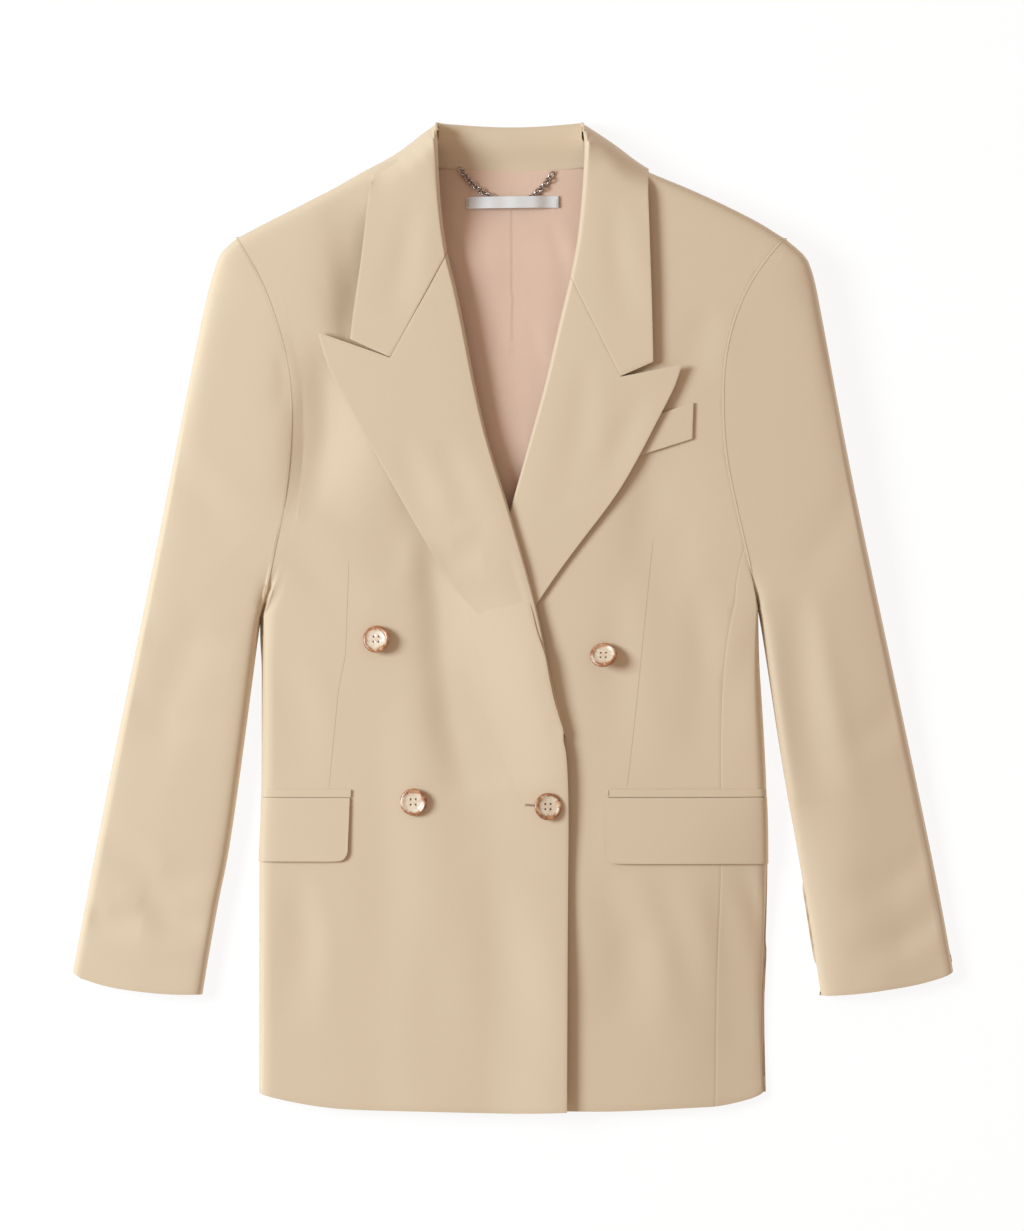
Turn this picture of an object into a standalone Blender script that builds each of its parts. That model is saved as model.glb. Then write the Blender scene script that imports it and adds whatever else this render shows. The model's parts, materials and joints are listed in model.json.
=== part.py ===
"""Double breasted blazer laid flat on its back, front side up.

Metres, +Z up. X runs across the blazer (the wearer's right side is at -X), Y runs from hem to
collar, and the cloth rests on z = 0. The origin is under the middle of the whole garment.
All driving sizes below are in millimetres; MM turns them into metres.
"""
import math

import bmesh
import bpy
from mathutils import Matrix, Vector

MM = 0.001

# ---------------------------------------------------------------- cloth and gaps
CLOTH = 2.0            # outer cloth with its interlining
LINING = 1.0           # thin lining, label
JET = 1.5              # folded pocket edge
SEAM = 0.3             # gap between two pieces along a seam
GORGE_GAP = 1.0        # gap along the seam of collar and lapel, which bends at the roll line
LAY = 0.4              # gap between a piece and the one it lies on
ON_LINE = 0.01         # closer than this, a point counts as lying on a fold line

# ---------------------------------------------------------------- rounded edges of the flat shape
FOLD_MID = 7.0         # height at which upper and under cloth meet at a fold beside the collar
LOW_MID = 3.2          # and along sleeves, sides and outer shoulders
FOLD_LIP = 1.0         # straight bit of cloth beside that seam
UPPER_ROUND = 17.0     # width of the rounding on top of a fold
UNDER_ROUND = 10.0     # width of the rounding below a fold
COLLAR_ROUND = 22.0    # width of the rounding of the collar over the shoulder
ROLL_ROUND = 5.0       # width of the rounding at a roll line
ROLL_LIP = CLOTH + 5 * LAY  # from a roll line in to the edge of the front beside it

# ---------------------------------------------------------------- height of the laid garment
LOFT = (               # y, height of the upper cloth
    (-420, 15), (-310, 17), (-200, 20), (-100, 23), (0, 26),
    (100, 30), (200, 33), (300, 35), (420, 36),
)
CROWN = 2.5            # rise of the cloth from its folded edges to the middle of the garment
CROWN_REACH = 60.0     # how gently it rises
HOLLOWS = (            # soft folds: points along the trough, half its width, depth
    (((-133, 326), (-137, 244)), 15, 5.5),                # beside the collar, right
    (((-171, 200), (-172, 128)), 17, 4.5),                # below the peak, right
    (((-108, 102), (-80, 38), (-66, -4)), 17, 4.5),       # beside the lower lapel, right
    (((-168, -252), (-200, -280)), 17, 2.2),              # below the flap, right
    (((134, 108), (132, 40)), 17, 3.0),                   # below the breast welt, left
    (((96, -322), (126, -258)), 18, 2.2),                 # below the flap, left
    (((-300, -100), (-268, -20)), 15, 2.5),               # inside the elbow, right sleeve
    (((-345, -262), (-285, -240)), 14, 2.0),              # above the cuff, right sleeve
    (((243, -10), (257, -140)), 15, 2.6),                 # down the left sleeve
    (((330, -262), (300, -222)), 15, 2.0),                # above the cuff, left sleeve
)

# ---------------------------------------------------------------- outline, columns: x, y
NECK_POINT = {"right": (-67.8, 403), "left": (64, 403)}
COLLAR_CORNER = {"right": (-64, 416), "left": (58, 416)}
COLLAR_SHOULDER = {"right": (-116, 381), "left": (117, 379)}

SLEEVE_OUTER = {
    "right": ((-370, -297), (-338.5, -132), (-302.5, 45), (-271.5, 202), (-259, 262),
              (-252, 289), (-245, 307), (-231.3, 319.3)),
    "left": ((370, -297), (358.5, -233), (339.5, -140), (320, -48), (284, 123), (263.5, 232),
             (252, 289), (244, 307), (230.3, 320.3)),
}
SLEEVE_INNER = {
    "right": ((-261, -316), (-250, -250), (-239, -197), (-227, -114), (-216, -30), (-211.8, 1)),
    "left": ((259, -317), (243, -217), (228, -134), (215, -50), (206.8, 3)),
}
CUFF = {
    "right": ((-370, -297), (-363, -304), (-332, -311), (-290, -316), (-261, -316)),
    "left": ((370, -297), (360, -303), (338, -308), (301, -314), (268, -317.5), (259, -317)),
}
ARMHOLE = {
    "right": ((-211, 3), (-203, 47), (-194, 84), (-189, 120), (-186, 163), (-186, 197),
              (-194, 234), (-208, 275), (-231, 319)),
    "left": ((206, 5), (196, 51), (189, 82), (178, 129), (175, 164), (176, 221), (186, 258),
             (199, 286), (230, 320.5)),
}
SIDE_FOLD = {
    "right": ((-213, -399), (-213, -287), (-213, -207), (-211, -140), (-211, -69), (-211, 3)),
    "left": ((211, -398), (210, -325), (213, -252), (214, -190), (213, -140), (210, -85),
             (207, -40), (206, 5)),
}
SHOULDER = {
    "right": ((-230.8, 319.6), (-200, 336), (-175, 349.5), (-118, 374.6), (-67.8, 403)),
    "left": ((229.8, 320.6), (176, 347.5), (119, 374), (64, 403)),
}
FRONT_HEM = {
    "right": ((-213, -399), (-203, -402.5), (-180, -407), (-159, -410.5), (-132, -412.5),
              (-68, -414), (2, -415.5), (45, -414.5)),
    "left": ((211, -398), (203, -404), (176, -409), (129, -412), (64, -414), (-70, -411)),
}
BACK_HEM = {
    "right": ((-213, -399), (-200, -402), (-180, -405.5), (-150, -408.5), (0, -411)),
    "left": ((211, -398), (200, -403), (150, -408), (0, -411)),
}
NECK_SEAM = {
    "right": ((-67.8, 403), (-63, 390), (-57, 380.5), (-30, 376.5), (0, 375)),
    "left": ((64, 403), (60, 390), (56, 380.5), (30, 376.5), (0, 375)),
}

# ---------------------------------------------------------------- front edges and lapels
ROLL_LINE = {
    "right": ((44.5, -100), (39, -77), (30, -44), (20, 8), (-3.5, 92), (-21, 148),
              (-32, 197), (-45, 266), (-55, 306), (-61, 353), (-64, 416)),
    "left": ((-24, 22), (-2, 92), (13, 145), (27, 196), (39, 248), (48, 285), (55, 323),
             (60, 388), (58, 416)),
}
FREE_EDGE = {
    "right": ((45, -414.5), (45.5, -279), (46, -212), (46.5, -153), (44.5, -107)),
    "left": ((-70, -411), (-70, -250), (-70, -107), (-46, -40), (-21, 16)),
}
LAPEL_OUTER = {
    "right": ((38, -84), (17, -55), (-11, -20), (-42, 17), (-53, 30), (-92, 97), (-146, 193),
              (-165, 231)),
    "left": ((6, -8), (17, 8), (38, 39), (62, 71), (87, 104), (106, 137), (124, 172),
             (143, 209)),
}
LAPEL_FOOT = {
    "right": ((44.5, -100), (38, -84)),
    "left": ((-17.4, 44), (6, -8)),      # out of sight under the right front
}
GORGE = {              # from the roll line to the inner corner of the notch
    "right": ((-55, 306), (-103, 218)),
    "left": ((48, 285), (90, 202)),
}
LAPEL_TOP = {          # from the inner corner of the notch to the peak
    "right": ((-103, 218), (-137, 230), (-163, 239)),
    "left": ((90, 202), (111, 206), (141, 212)),
}
COLLAR_END = {         # from the inner corner of the notch to the collar's own corner
    "right": ((-103, 218), (-136, 233)),
    "left": ((90, 202), (117, 214)),
}
COLLAR_OUTER = {
    "right": ((-136, 233), (-133, 260), (-126, 304), (-122, 345), (-116, 381)),
    "left": ((117, 214), (116, 260), (114, 319), (113, 350), (117, 379)),
}
LAPEL_TAIL_ENDS = ((-16, 55), (12, 4))   # beside the left lapel's foot: the right front lifts
COLLAR_BACK_TOP = ((-64, 416), (-32, 413), (-2, 412), (28, 413), (58, 416))
COLLAR_BACK_EDGE = ((-116, 381), (-90, 367), (0, 364), (90, 366), (117, 379))
COLLAR_BAND_SEAM = 401.0  # y of the seam between collar and neck band
NECK_SEAM_Y = 375.0       # y of the neck seam at the middle of the back
BAND_TOP = 13.0           # height of the band's upper seam
TURN_ROUND = 8.0          # width of the rounding of the collar's turn
BAND_FOOT = ((-70, 380), (-61, 379), (-30, 376.5), (0, 375), (30, 376.5), (59, 379), (66, 380))
BAND_END = {"right": ((-70, 380), (-68, 388), (-63.3, 397), (-62.5, 401)),
            "left": ((66, 380), (64, 388), (59, 397), (57.5, 401))}
ROLL_LIFT = {             # y, lift of the roll above lying flat
    "right": ((-110, 0.7), (60, 0.9), (150, 2.5), (300, 3.5), (420, 5)),
    "left": ((90, 0.4), (130, 1.0), (200, 3.0), (300, 3.5), (420, 5)),
}
EDGE_LIFT = {             # y, lift of the outer edge
    "right": ((-110, 0.7), (20, 0.7), (100, 1.2), (230, 3.0), (300, 2.5), (380, 1.0)),
    "left": ((10, 0.4), (70, 2.0), (130, 3.8), (230, 5.5), (340, 5.0), (380, 1.0)),
}

# ---------------------------------------------------------------- seams hidden or on the side
SIDE_SEAM_LEFT = ((170, -410), (171, -293), (172, -255), (176, -206), (174, -144), (174, -69),
                  (176, -18), (181, 18))
SIDE_SEAM_TOP = 0.165   # share of the armhole below the top of the side seam
BACK_SIDE_SEAM = 168.0  # x of the seam between back and side panel, on the floor side

# ---------------------------------------------------------------- pockets, columns: x, y
HIP_JET = {"right": (-136, -144, -150), "left": (79, -144, -150)}      # inner x, top, bottom
HIP_FLAP = {"right": (-137, -151, -204), "left": (77, -151, -206)}
FLAP_CORNER = 8.0
BREAST_WELT_TOP = ((114, 168), (151, 180))
BREAST_WELT_FOOT = ((104, 135.5), (150, 150))

# ---------------------------------------------------------------- buttons
BUTTON_RADIUS = 11.5
BUTTON_THICK = 4.0
BUTTON_HOLE = 1.1       # radius of a thread hole
BUTTON_HOLE_OUT = 2.2   # from the middle to a hole, along X and Y
BUTTON_FACETS = 18
DRILL_LENGTH = 30.0
BUTTONS = {             # x, y, lean about X, lean about Y, in degrees; panel that carries it
    "button_upper_right": (-114, -18, -9, -14, "right"),
    "button_upper_left": (76, -32, -30, -8, "left"),
    "button_lower_right": (-83, -154, 3, -10, "right"),
    "button_lower_left": (29, -158, -4, 9, "right"),
}

# ---------------------------------------------------------------- neck details
LABEL = (77.0, 9.5)     # length, width
LABEL_MIDDLE = (-0.5, 349.0)
LABEL_SLOPE = 0.9       # rise of its left end over its right end
LABEL_PROUD = 5.2       # how far its middle stands up over the chain
CHAIN_RADIUS = 2.2
CHAIN_ROUTE = ((-43, 375), (-36, 366), (-25, 357), (-14, 351), (0, 349), (13, 351),
               (20, 357), (29, 366), (34, 375))

COLOURS = {             # name: colour, roughness, metallic
    "wool": ((0.70, 0.60, 0.45, 1), 0.85, 0.0),
    "lining": ((0.66, 0.46, 0.35, 1), 0.6, 0.0),
    "label": ((0.68, 0.68, 0.70, 1), 0.5, 0.0),
    "horn": ((0.55, 0.34, 0.20, 1), 0.3, 0.0),
    "chain": ((0.22, 0.19, 0.17, 1), 0.35, 1.0),
}


# ================================================================ plane curves
def smooth(points, step=9.0):
    """A Catmull-Rom curve through the points, as a polyline."""
    ends = [Vector(p) for p in points]
    ends = [2 * ends[0] - ends[1]] + ends + [2 * ends[-1] - ends[-2]]
    line = [ends[1]]
    for a, b, c, d in zip(ends, ends[1:], ends[2:], ends[3:]):
        count = max(1, round((c - b).length / step))
        for i in range(1, count + 1):
            t = i / count
            line.append(0.5 * (2 * b + (c - a) * t + (2 * a - 5 * b + 4 * c - d) * t * t
                               + (3 * b - 3 * c + d - a) * t ** 3))
    return line


def lengths(line):
    """Running length at each point of a polyline."""
    total = [0.0]
    for a, b in zip(line, line[1:]):
        total.append(total[-1] + (b - a).length)
    return total


def along(line, shares):
    """Points of a polyline at the given shares of its length."""
    total = lengths(line)
    points = []
    for share in shares:
        goal = share * total[-1]
        i = 0
        while i < len(line) - 2 and total[i + 1] < goal:
            i += 1
        span = total[i + 1] - total[i]
        points.append(line[i].lerp(line[i + 1], (goal - total[i]) / span if span else 0.0))
    return points


def chain_points(*stretches):
    """Points along several (polyline, shares) in a row, with shared ends given once."""
    points = []
    for line, shares in stretches:
        fresh = along(line, shares)
        if points and (fresh[0] - points[-1]).length < 1e-6:
            fresh = fresh[1:]
        points += fresh
    return points


def nearest(line, point):
    """Distance from a point to a polyline."""
    best = 1e9
    for a, b in zip(line, line[1:]):
        edge = b - a
        t = max(0.0, min(1.0, (point - a).dot(edge) / max(edge.length_squared, 1e-12)))
        best = min(best, (a + t * edge - point).length)
    return best


def share_near(line, point):
    """Share of a polyline's length at its corner nearest to a point."""
    total = lengths(line)
    i = min(range(len(line)), key=lambda k: (line[k] - Vector(point)).length)
    return total[i] / total[-1]


def part_of(line, start, end):
    """The stretch of a polyline between two shares of its length."""
    total = lengths(line)
    inner = [p for p, t in zip(line, total) if start < t / total[-1] < end]
    first, last = along(line, (start, end))
    return [first] + inner + [last]


def moved_in(line, distance):
    """A polyline moved sideways: to the left of its run for a positive distance."""
    shifted = []
    for i, point in enumerate(line):
        run = line[min(i + 1, len(line) - 1)] - line[max(i - 1, 0)]
        shifted.append(point + Vector((-run.y, run.x)).normalized() * distance)
    return shifted


def evenly(count):
    """Shares from 0 to 1 in this many equal steps."""
    return [i / count for i in range(count + 1)]


# ================================================================ heights of the cloth
def table_value(table, key):
    """Smoothly read a (key, value) table."""
    if key <= table[0][0]:
        return table[0][1]
    for (a, low), (b, high) in zip(table, table[1:]):
        if key <= b:
            t = (key - a) / (b - a)
            return low + (high - low) * t
    return table[-1][1]


def ease(value, start, end):
    """Smooth step from 0 at start to 1 at end."""
    t = max(0.0, min(1.0, (value - start) / (end - start)))
    return t * t * (3 - 2 * t)


def quarter_round(distance, width):
    """Height share of a quarter ellipse, 0 at its foot and 1 from its width on."""
    if distance < ON_LINE:
        return 0.0
    k = min(1.0, distance / width)
    return math.sqrt(1 - (1 - k) ** 2)


SIDES = ("right", "left")
OUTER_LINE = {s: smooth(SLEEVE_OUTER[s]) for s in SIDES}
INNER_LINE = {s: smooth(SLEEVE_INNER[s]) for s in SIDES}
FOLD_LINE = {s: smooth(SIDE_FOLD[s]) for s in SIDES}
SHOULDER_LINE = {s: smooth(SHOULDER[s]) for s in SIDES}
ARMHOLE_LINE = {s: smooth(ARMHOLE[s], 6.0) for s in SIDES}
ROLL = {s: smooth(ROLL_LINE[s], 6.0) for s in SIDES}
HIDDEN_EDGE = smooth(FREE_EDGE["left"])
BACK_TOP_LINE = smooth(COLLAR_BACK_TOP)
LAPEL_EDGE = {s: smooth(LAPEL_OUTER[s]) for s in SIDES}
COLLAR_EDGE = {s: smooth(COLLAR_OUTER[s]) for s in SIDES}
COLLAR_SLANT = {s: [Vector(COLLAR_CORNER[s]), Vector(COLLAR_SHOULDER[s])] for s in SIDES}
LAPEL_TAIL = [Vector(p) for p in LAPEL_TAIL_ENDS]
FOLDS = [lines[s] for s in SIDES
         for lines in (OUTER_LINE, INNER_LINE, FOLD_LINE, SHOULDER_LINE)]
HOLLOW_LINES = [([Vector(p) for p in points], width, depth) for points, width, depth in HOLLOWS]


def fold_distance(x, y):
    point = Vector((x, y))
    return min(nearest(line, point) for line in FOLDS)


def hollow(x, y):
    """Depth of the soft folds."""
    point = Vector((x, y))
    return sum(depth * math.exp(-(nearest(line, point) / width) ** 2)
               for line, width, depth in HOLLOW_LINES)


def fold_mid(y):
    """Height at which upper and under cloth meet at a fold."""
    return LOW_MID + (FOLD_MID - LOW_MID) * ease(y, 300, 345)


def upper_height(x, y, stacked=0.0, hollows=True):
    """Outer face of the upper cloth, raised by what is stacked below it."""
    foot, away = fold_mid(y) + FOLD_LIP, fold_distance(x, y)
    full = table_value(LOFT, y) + CROWN * (1 - math.exp(-away / CROWN_REACH)) + stacked
    if hollows:
        full -= hollow(x, y)
    return foot + (full - foot) * quarter_round(away, UPPER_ROUND)


def collar_clearance(x, y):
    """Lift of the back where the collar lies under it."""
    return (CLOTH + LAY) * ease(y, 325, 352) * (1 - ease(abs(x), 125, 165))


def under_height(x, y):
    """Outer face of the under cloth: flat on the floor, rising to the seam at a fold."""
    head, floor = fold_mid(y) - FOLD_LIP, collar_clearance(x, y)
    return head - (head - floor) * quarter_round(fold_distance(x, y), UNDER_ROUND)


def hidden_edge_x(y):
    """X of the hidden edge of the left front, carried on above the crossing."""
    for a, b in zip(HIDDEN_EDGE, HIDDEN_EDGE[1:]):
        if a.y <= y <= b.y:
            return a.x + (b.x - a.x) * (y - a.y) / (b.y - a.y)
    top = HIDDEN_EDGE[-1]
    return top.x + 0.36 * (y - top.y) if y > top.y else HIDDEN_EDGE[0].x


def overlap_lift(x, y):
    """Lift of the right front over the left front, and over the foot of its lapel."""
    edge = hidden_edge_x(y)
    over_front = (CLOTH + LAY) * ease(x, edge - 42, edge - 6)
    tail = nearest(LAPEL_TAIL, Vector((x, y)))
    return over_front + (CLOTH + 4 * LAY) * (1 - ease(tail, 46, 100))


def front_height(side, x, y, hollows=True):
    """Outer face of a front; what is turned over it lies smoothly, without its hollows."""
    return upper_height(x, y, overlap_lift(x, y) if side == "right" else 0.0, hollows)


def turned_lift(side, x, y):
    """Height of the lapel and collar above lying flat: the roll and the lifted edge."""
    point = Vector((x, y))
    roll = nearest(ROLL[side], point)
    edge = min(nearest(LAPEL_EDGE[side], point), nearest(COLLAR_EDGE[side], point))
    share = roll / max(roll + edge, 1e-6)
    return (table_value(ROLL_LIFT[side], y) * (1 - share)
            + table_value(EDGE_LIFT[side], y) * share)


def rounded_at_roll(side, x, y, full):
    """Round a turned piece down to its front at the roll line."""
    foot = min(full, front_height(side, x, y, False))
    return foot + (full - foot) * quarter_round(nearest(ROLL[side], Vector((x, y))), ROLL_ROUND)


def lapel_height(side, x, y):
    full = front_height(side, x, y, False) + CLOTH + LAY + turned_lift(side, x, y)
    return rounded_at_roll(side, x, y, full)


def collar_height(side, x, y):
    """Outer face of the collar in front, over the shoulder to its fold."""
    slant = nearest(COLLAR_SLANT[side], Vector((x, y)))
    full = table_value(LOFT, y) + CROWN + CLOTH + LAY + turned_lift(side, x, y)
    full = FOLD_MID + (full - FOLD_MID) * quarter_round(slant, COLLAR_ROUND)
    return rounded_at_roll(side, x, y, full)


def under_collar_height(x, y):
    """Outer face of the collar behind the neck, on the floor."""
    point = Vector((x, y))
    edges = [nearest(COLLAR_SLANT[s], point) for s in SIDES] + [nearest(BACK_TOP_LINE, point)]
    return FOLD_MID * (1 - quarter_round(min(edges), UNDER_ROUND))


def turn_height(x, y):
    """Face of the collar's turn at the back neck, from its top edge to the band's seam."""
    rise = nearest(BACK_TOP_LINE, Vector((x, y)))
    return FOLD_MID + (BAND_TOP - FOLD_MID) * quarter_round(rise, TURN_ROUND)


def band_height(x, y):
    """Inner face of the neck band, from the neck seam up to the collar's turn."""
    low = lining_height(0, NECK_SEAM_Y) + 1.5 * ease(abs(x), 46, 58)
    return low + (BAND_TOP - low) * ease(y, NECK_SEAM_Y, COLLAR_BAND_SEAM)


def lining_height(x, y):
    """Visible face of the back lining, which rises over the collar before the back does."""
    return (CLOTH + LAY) * ease(y, 262, 322) + CLOTH + LAY + LINING


# ================================================================ building cloth
def coons(bottom, top, left, right):
    """Grid of plane points inside four edges; rows run from bottom to top."""
    rows, columns = len(left), len(bottom)
    v_left, v_right = lengths(left), lengths(right)
    u_low, u_high = lengths(bottom), lengths(top)
    grid = []
    for j in range(rows):
        v = 0.5 * (v_left[j] / v_left[-1] + v_right[j] / v_right[-1])
        row = []
        for i in range(columns):
            u = 0.5 * (u_low[i] / u_low[-1] + u_high[i] / u_high[-1])
            point = ((1 - v) * bottom[i] + v * top[i] + (1 - u) * left[j] + u * right[j]
                     - (1 - u) * (1 - v) * bottom[0] - u * (1 - v) * bottom[-1]
                     - (1 - u) * v * top[0] - u * v * top[-1])
            if i == 0:
                point = left[j].copy()
            elif i == columns - 1:
                point = right[j].copy()
            elif j == 0:
                point = bottom[i].copy()
            elif j == rows - 1:
                point = top[i].copy()
            row.append(point)
        grid.append(row)
    return grid


def pull(grid, edges, distance=SEAM / 2):
    """Draw the named edges of a grid in, to leave half a seam gap."""
    near = {"left": (0, 1), "right": (-1, -2)}
    for edge in edges:
        if edge in near:
            a, b = near[edge]
            for row in grid:
                row[a] = drawn(row[a], row[b], distance)
        else:
            a, b = {"bottom": (0, 1), "top": (-1, -2)}[edge]
            grid[a] = [drawn(p, q, distance) for p, q in zip(grid[a], grid[b])]
    return grid


def drawn(point, inner, distance):
    """A point moved towards an inner one, unless it lies on a fold, which stays."""
    if fold_distance(point.x, point.y) < ON_LINE:
        return point
    steep = 1 - quarter_round(fold_distance(point.x, point.y), UPPER_ROUND)
    return point + (inner - point).normalized() * distance * (1 + 2 * steep)


def raised(grid, height):
    """Give each plane point of a grid its height."""
    return [[Vector((p.x, p.y, height(p.x, p.y))) for p in row] for row in grid]


def material(kind):
    colour, roughness, metallic = COLOURS[kind]
    made = bpy.data.materials.get(kind)
    if made is None:
        made = bpy.data.materials.new(kind)
        made.use_nodes = True
        shader = made.node_tree.nodes["Principled BSDF"]
        shader.inputs["Base Color"].default_value = colour
        shader.inputs["Roughness"].default_value = roughness
        shader.inputs["Metallic"].default_value = metallic
    return made


def finish(name, mesh, kind):
    mesh.materials.append(material(kind))
    mesh.shade_smooth()
    mesh.set_sharp_from_angle(angle=math.radians(50))
    thing = bpy.data.objects.new(name, mesh)
    blazer.objects.link(thing)
    return thing


def cloth(name, grids, kind="wool", wall=CLOTH, face_up=True):
    """One piece of cloth: grids of its outer face, joined and given a wall inwards."""
    work = bmesh.new()
    for grid in grids:
        verts = [[work.verts.new(p * MM) for p in row] for row in grid]
        for low, high in zip(verts, verts[1:]):
            for a, b, c, d in zip(low, low[1:], high[1:], high):
                work.faces.new((a, b, c, d))
    bmesh.ops.remove_doubles(work, verts=work.verts, dist=0.00002)
    bmesh.ops.dissolve_degenerate(work, edges=work.edges, dist=0.00001)
    bmesh.ops.recalc_face_normals(work, faces=work.faces)
    middle = grids[0][len(grids[0]) // 2][len(grids[0][0]) // 2] * MM
    face = min(work.faces, key=lambda f: (f.calc_center_median() - middle).length)
    if (face.normal.z > 0) != face_up:
        bmesh.ops.reverse_faces(work, faces=work.faces)
    mesh = bpy.data.meshes.new(name)
    work.to_mesh(mesh)
    work.free()
    thing = finish(name, mesh, kind)
    wall_maker = thing.modifiers.new("wall", "SOLIDIFY")
    wall_maker.thickness = wall * MM
    wall_maker.offset = -1
    wall_maker.use_even_offset = False
    wall_maker.thickness_clamp = 0
    return thing


def with_lip(grid, edge, heights):
    """Add rows beside an edge of a raised grid, straight down or up to each height."""
    for height in heights:
        if edge == "top":
            grid.append([Vector((p.x, p.y, height(p))) for p in grid[-1]])
        elif edge == "left":
            for row in grid:
                row.insert(0, Vector((row[0].x, row[0].y, height(row[0]))))
        else:
            for row in grid:
                row.append(Vector((row[-1].x, row[-1].y, height(row[-1]))))
    return grid


def upper_seam(point):
    """Foot of the upper cloth's lip at a fold; elsewhere the edge stays where it is."""
    on_fold = fold_distance(point.x, point.y) < ON_LINE
    return fold_mid(point.y) + SEAM / 2 if on_fold else point.z


def under_seam(point):
    on_fold = fold_distance(point.x, point.y) < ON_LINE
    return fold_mid(point.y) - SEAM / 2 if on_fold else point.z


# ================================================================ samples along the edges
CROWD = (1.0, 0.62, 0.3, 0.08, 0.0)      # steps of a rounding, from its top to its foot
ARM_STEPS = (0.08, 0.165, 0.28, 0.40, 0.52, 0.64, 0.76, 0.87)
ARM_SHARES = ARM_STEPS + tuple(1 - 0.05 * k for k in CROWD[:-1])
SEAM_ROWS = evenly(8)
ARM_UNDER = (0.08, 0.165, 0.30, 0.45, 0.60, 0.75, 0.88, 0.97, 0.99, 0.998)


def armhole(side, shares, start=0.0):
    return along(ARMHOLE_LINE[side], [s for s in shares if s >= start])


def like(line, points):
    """Points of a line at the same shares of its length as the given points of theirs."""
    run = lengths(points)
    return along(line, [r / run[-1] for r in run])


def crowded(inner, width, total, ends=("start",)):
    """Inner shares, with the steps of a rounding crowded in at the named ends."""
    step = width / total
    shares = [step * (1 - k) for k in CROWD] if "start" in ends else [0.0]
    shares += inner
    return shares + ([1 - step * k for k in CROWD] if "end" in ends else [1.0])


def rising(count):
    """This many shares from 0 to 1, crowded towards the shoulder's rounding at 1."""
    crowd = [1 - 0.05 * k for k in CROWD]
    plain = count - len(crowd)
    return [crowd[0] * i / plain for i in range(plain)] + crowd


def nearest_at_x(line, x):
    return min(along(line, [i / 400 for i in range(401)]), key=lambda p: abs(p.x - x))


def line_x(line, y):
    """X of a line that runs up the garment, at height y."""
    for a, b in zip(line, line[1:]):
        if a.y <= y <= b.y:
            return a.x + (b.x - a.x) * (y - a.y) / (b.y - a.y)
    return line[0].x if y < line[0].y else line[-1].x


GORGE_SHARES = crowded([0.36, 0.68], ROLL_ROUND, 100)
SLANT_SHARES = (0, 0.006, 0.024, 0.05, 0.08, 0.26, 0.46, 0.66, 0.84, 1)
SLEEVE_HEAD = 0.915                      # share of the outer fold below the sleeve head
SIGN = {"right": -1, "left": 1}          # towards which X each side lies
BACK_HEM_LINE = {s: smooth(BACK_HEM[s]) for s in SIDES}
FRONT_HEM_LINE = {s: smooth(FRONT_HEM[s]) for s in SIDES}
ARMHOLE_FOOT = {s: part_of(ARMHOLE_LINE[s], 0.0, SIDE_SEAM_TOP) for s in SIDES}
SIDE_TOP = {s: ARMHOLE_FOOT[s][-1] for s in SIDES}
FRONT_SIDE_SEAM = smooth(SIDE_SEAM_LEFT + (tuple(SIDE_TOP["left"]),))
BACK_SEAM = {s: smooth((tuple(nearest_at_x(BACK_HEM_LINE[s], SIGN[s] * BACK_SIDE_SEAM)),
                        (SIGN[s] * BACK_SIDE_SEAM, -100), (SIGN[s] * (BACK_SIDE_SEAM + 4), 0),
                        tuple(SIDE_TOP[s]))) for s in SIDES}


def hem_part(line, x_from, x_to):
    """The stretch of a hem between two X."""
    shares = [share_near(line, nearest_at_x(line, x)) for x in (x_from, x_to)]
    return part_of(line, *shares)


def inside_roll(side):
    """A front's edge just inside the roll line, up to the neck point."""
    line = moved_in(ROLL[side], -SIGN[side] * ROLL_LIP)
    return [p for p in line if p.y < NECK_POINT[side][1] - 4] + [Vector(NECK_POINT[side])]


# ================================================================ body
def make_front_right():
    side = "right"
    outer = along(FOLD_LINE[side], SEAM_ROWS) + armhole(side, ARM_SHARES)
    outer.append(SHOULDER_LINE[side][0])
    inner = along(smooth(FREE_EDGE[side]), evenly(7))
    inner += along(inside_roll(side), rising(len(outer) - len(inner)))
    columns = crowded([0.16, 0.24, 0.32, 0.4, 0.49, 0.59, 0.7, 0.8, 0.9], UPPER_ROUND, 240)
    grid = coons(along(FRONT_HEM_LINE[side], columns), along(SHOULDER_LINE[side], columns),
                 outer, inner)
    grid = raised(pull(grid, ["left"]), lambda x, y: front_height(side, x, y))
    with_lip(grid, "left", [upper_seam])
    with_lip(grid, "top", [upper_seam])
    cloth("front_right", [grid])


def make_front_left():
    side = "left"
    outer = along(FRONT_SIDE_SEAM, SEAM_ROWS) + armhole(side, ARM_SHARES, SIDE_SEAM_TOP + 0.01)
    outer.append(SHOULDER_LINE[side][0])
    inner = along(HIDDEN_EDGE, evenly(8))
    inner += along(inside_roll(side), rising(len(outer) - len(inner)))
    columns = evenly(12)
    hem = hem_part(FRONT_HEM_LINE[side], SIDE_SEAM_LEFT[0][0], FREE_EDGE[side][0][0])
    grid = coons(along(hem, columns), along(SHOULDER_LINE[side], columns), outer, inner)
    grid = raised(pull(grid, ["left"]), lambda x, y: front_height(side, x, y))
    with_lip(grid, "top", [upper_seam])
    cloth("front_left", [grid])


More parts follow.
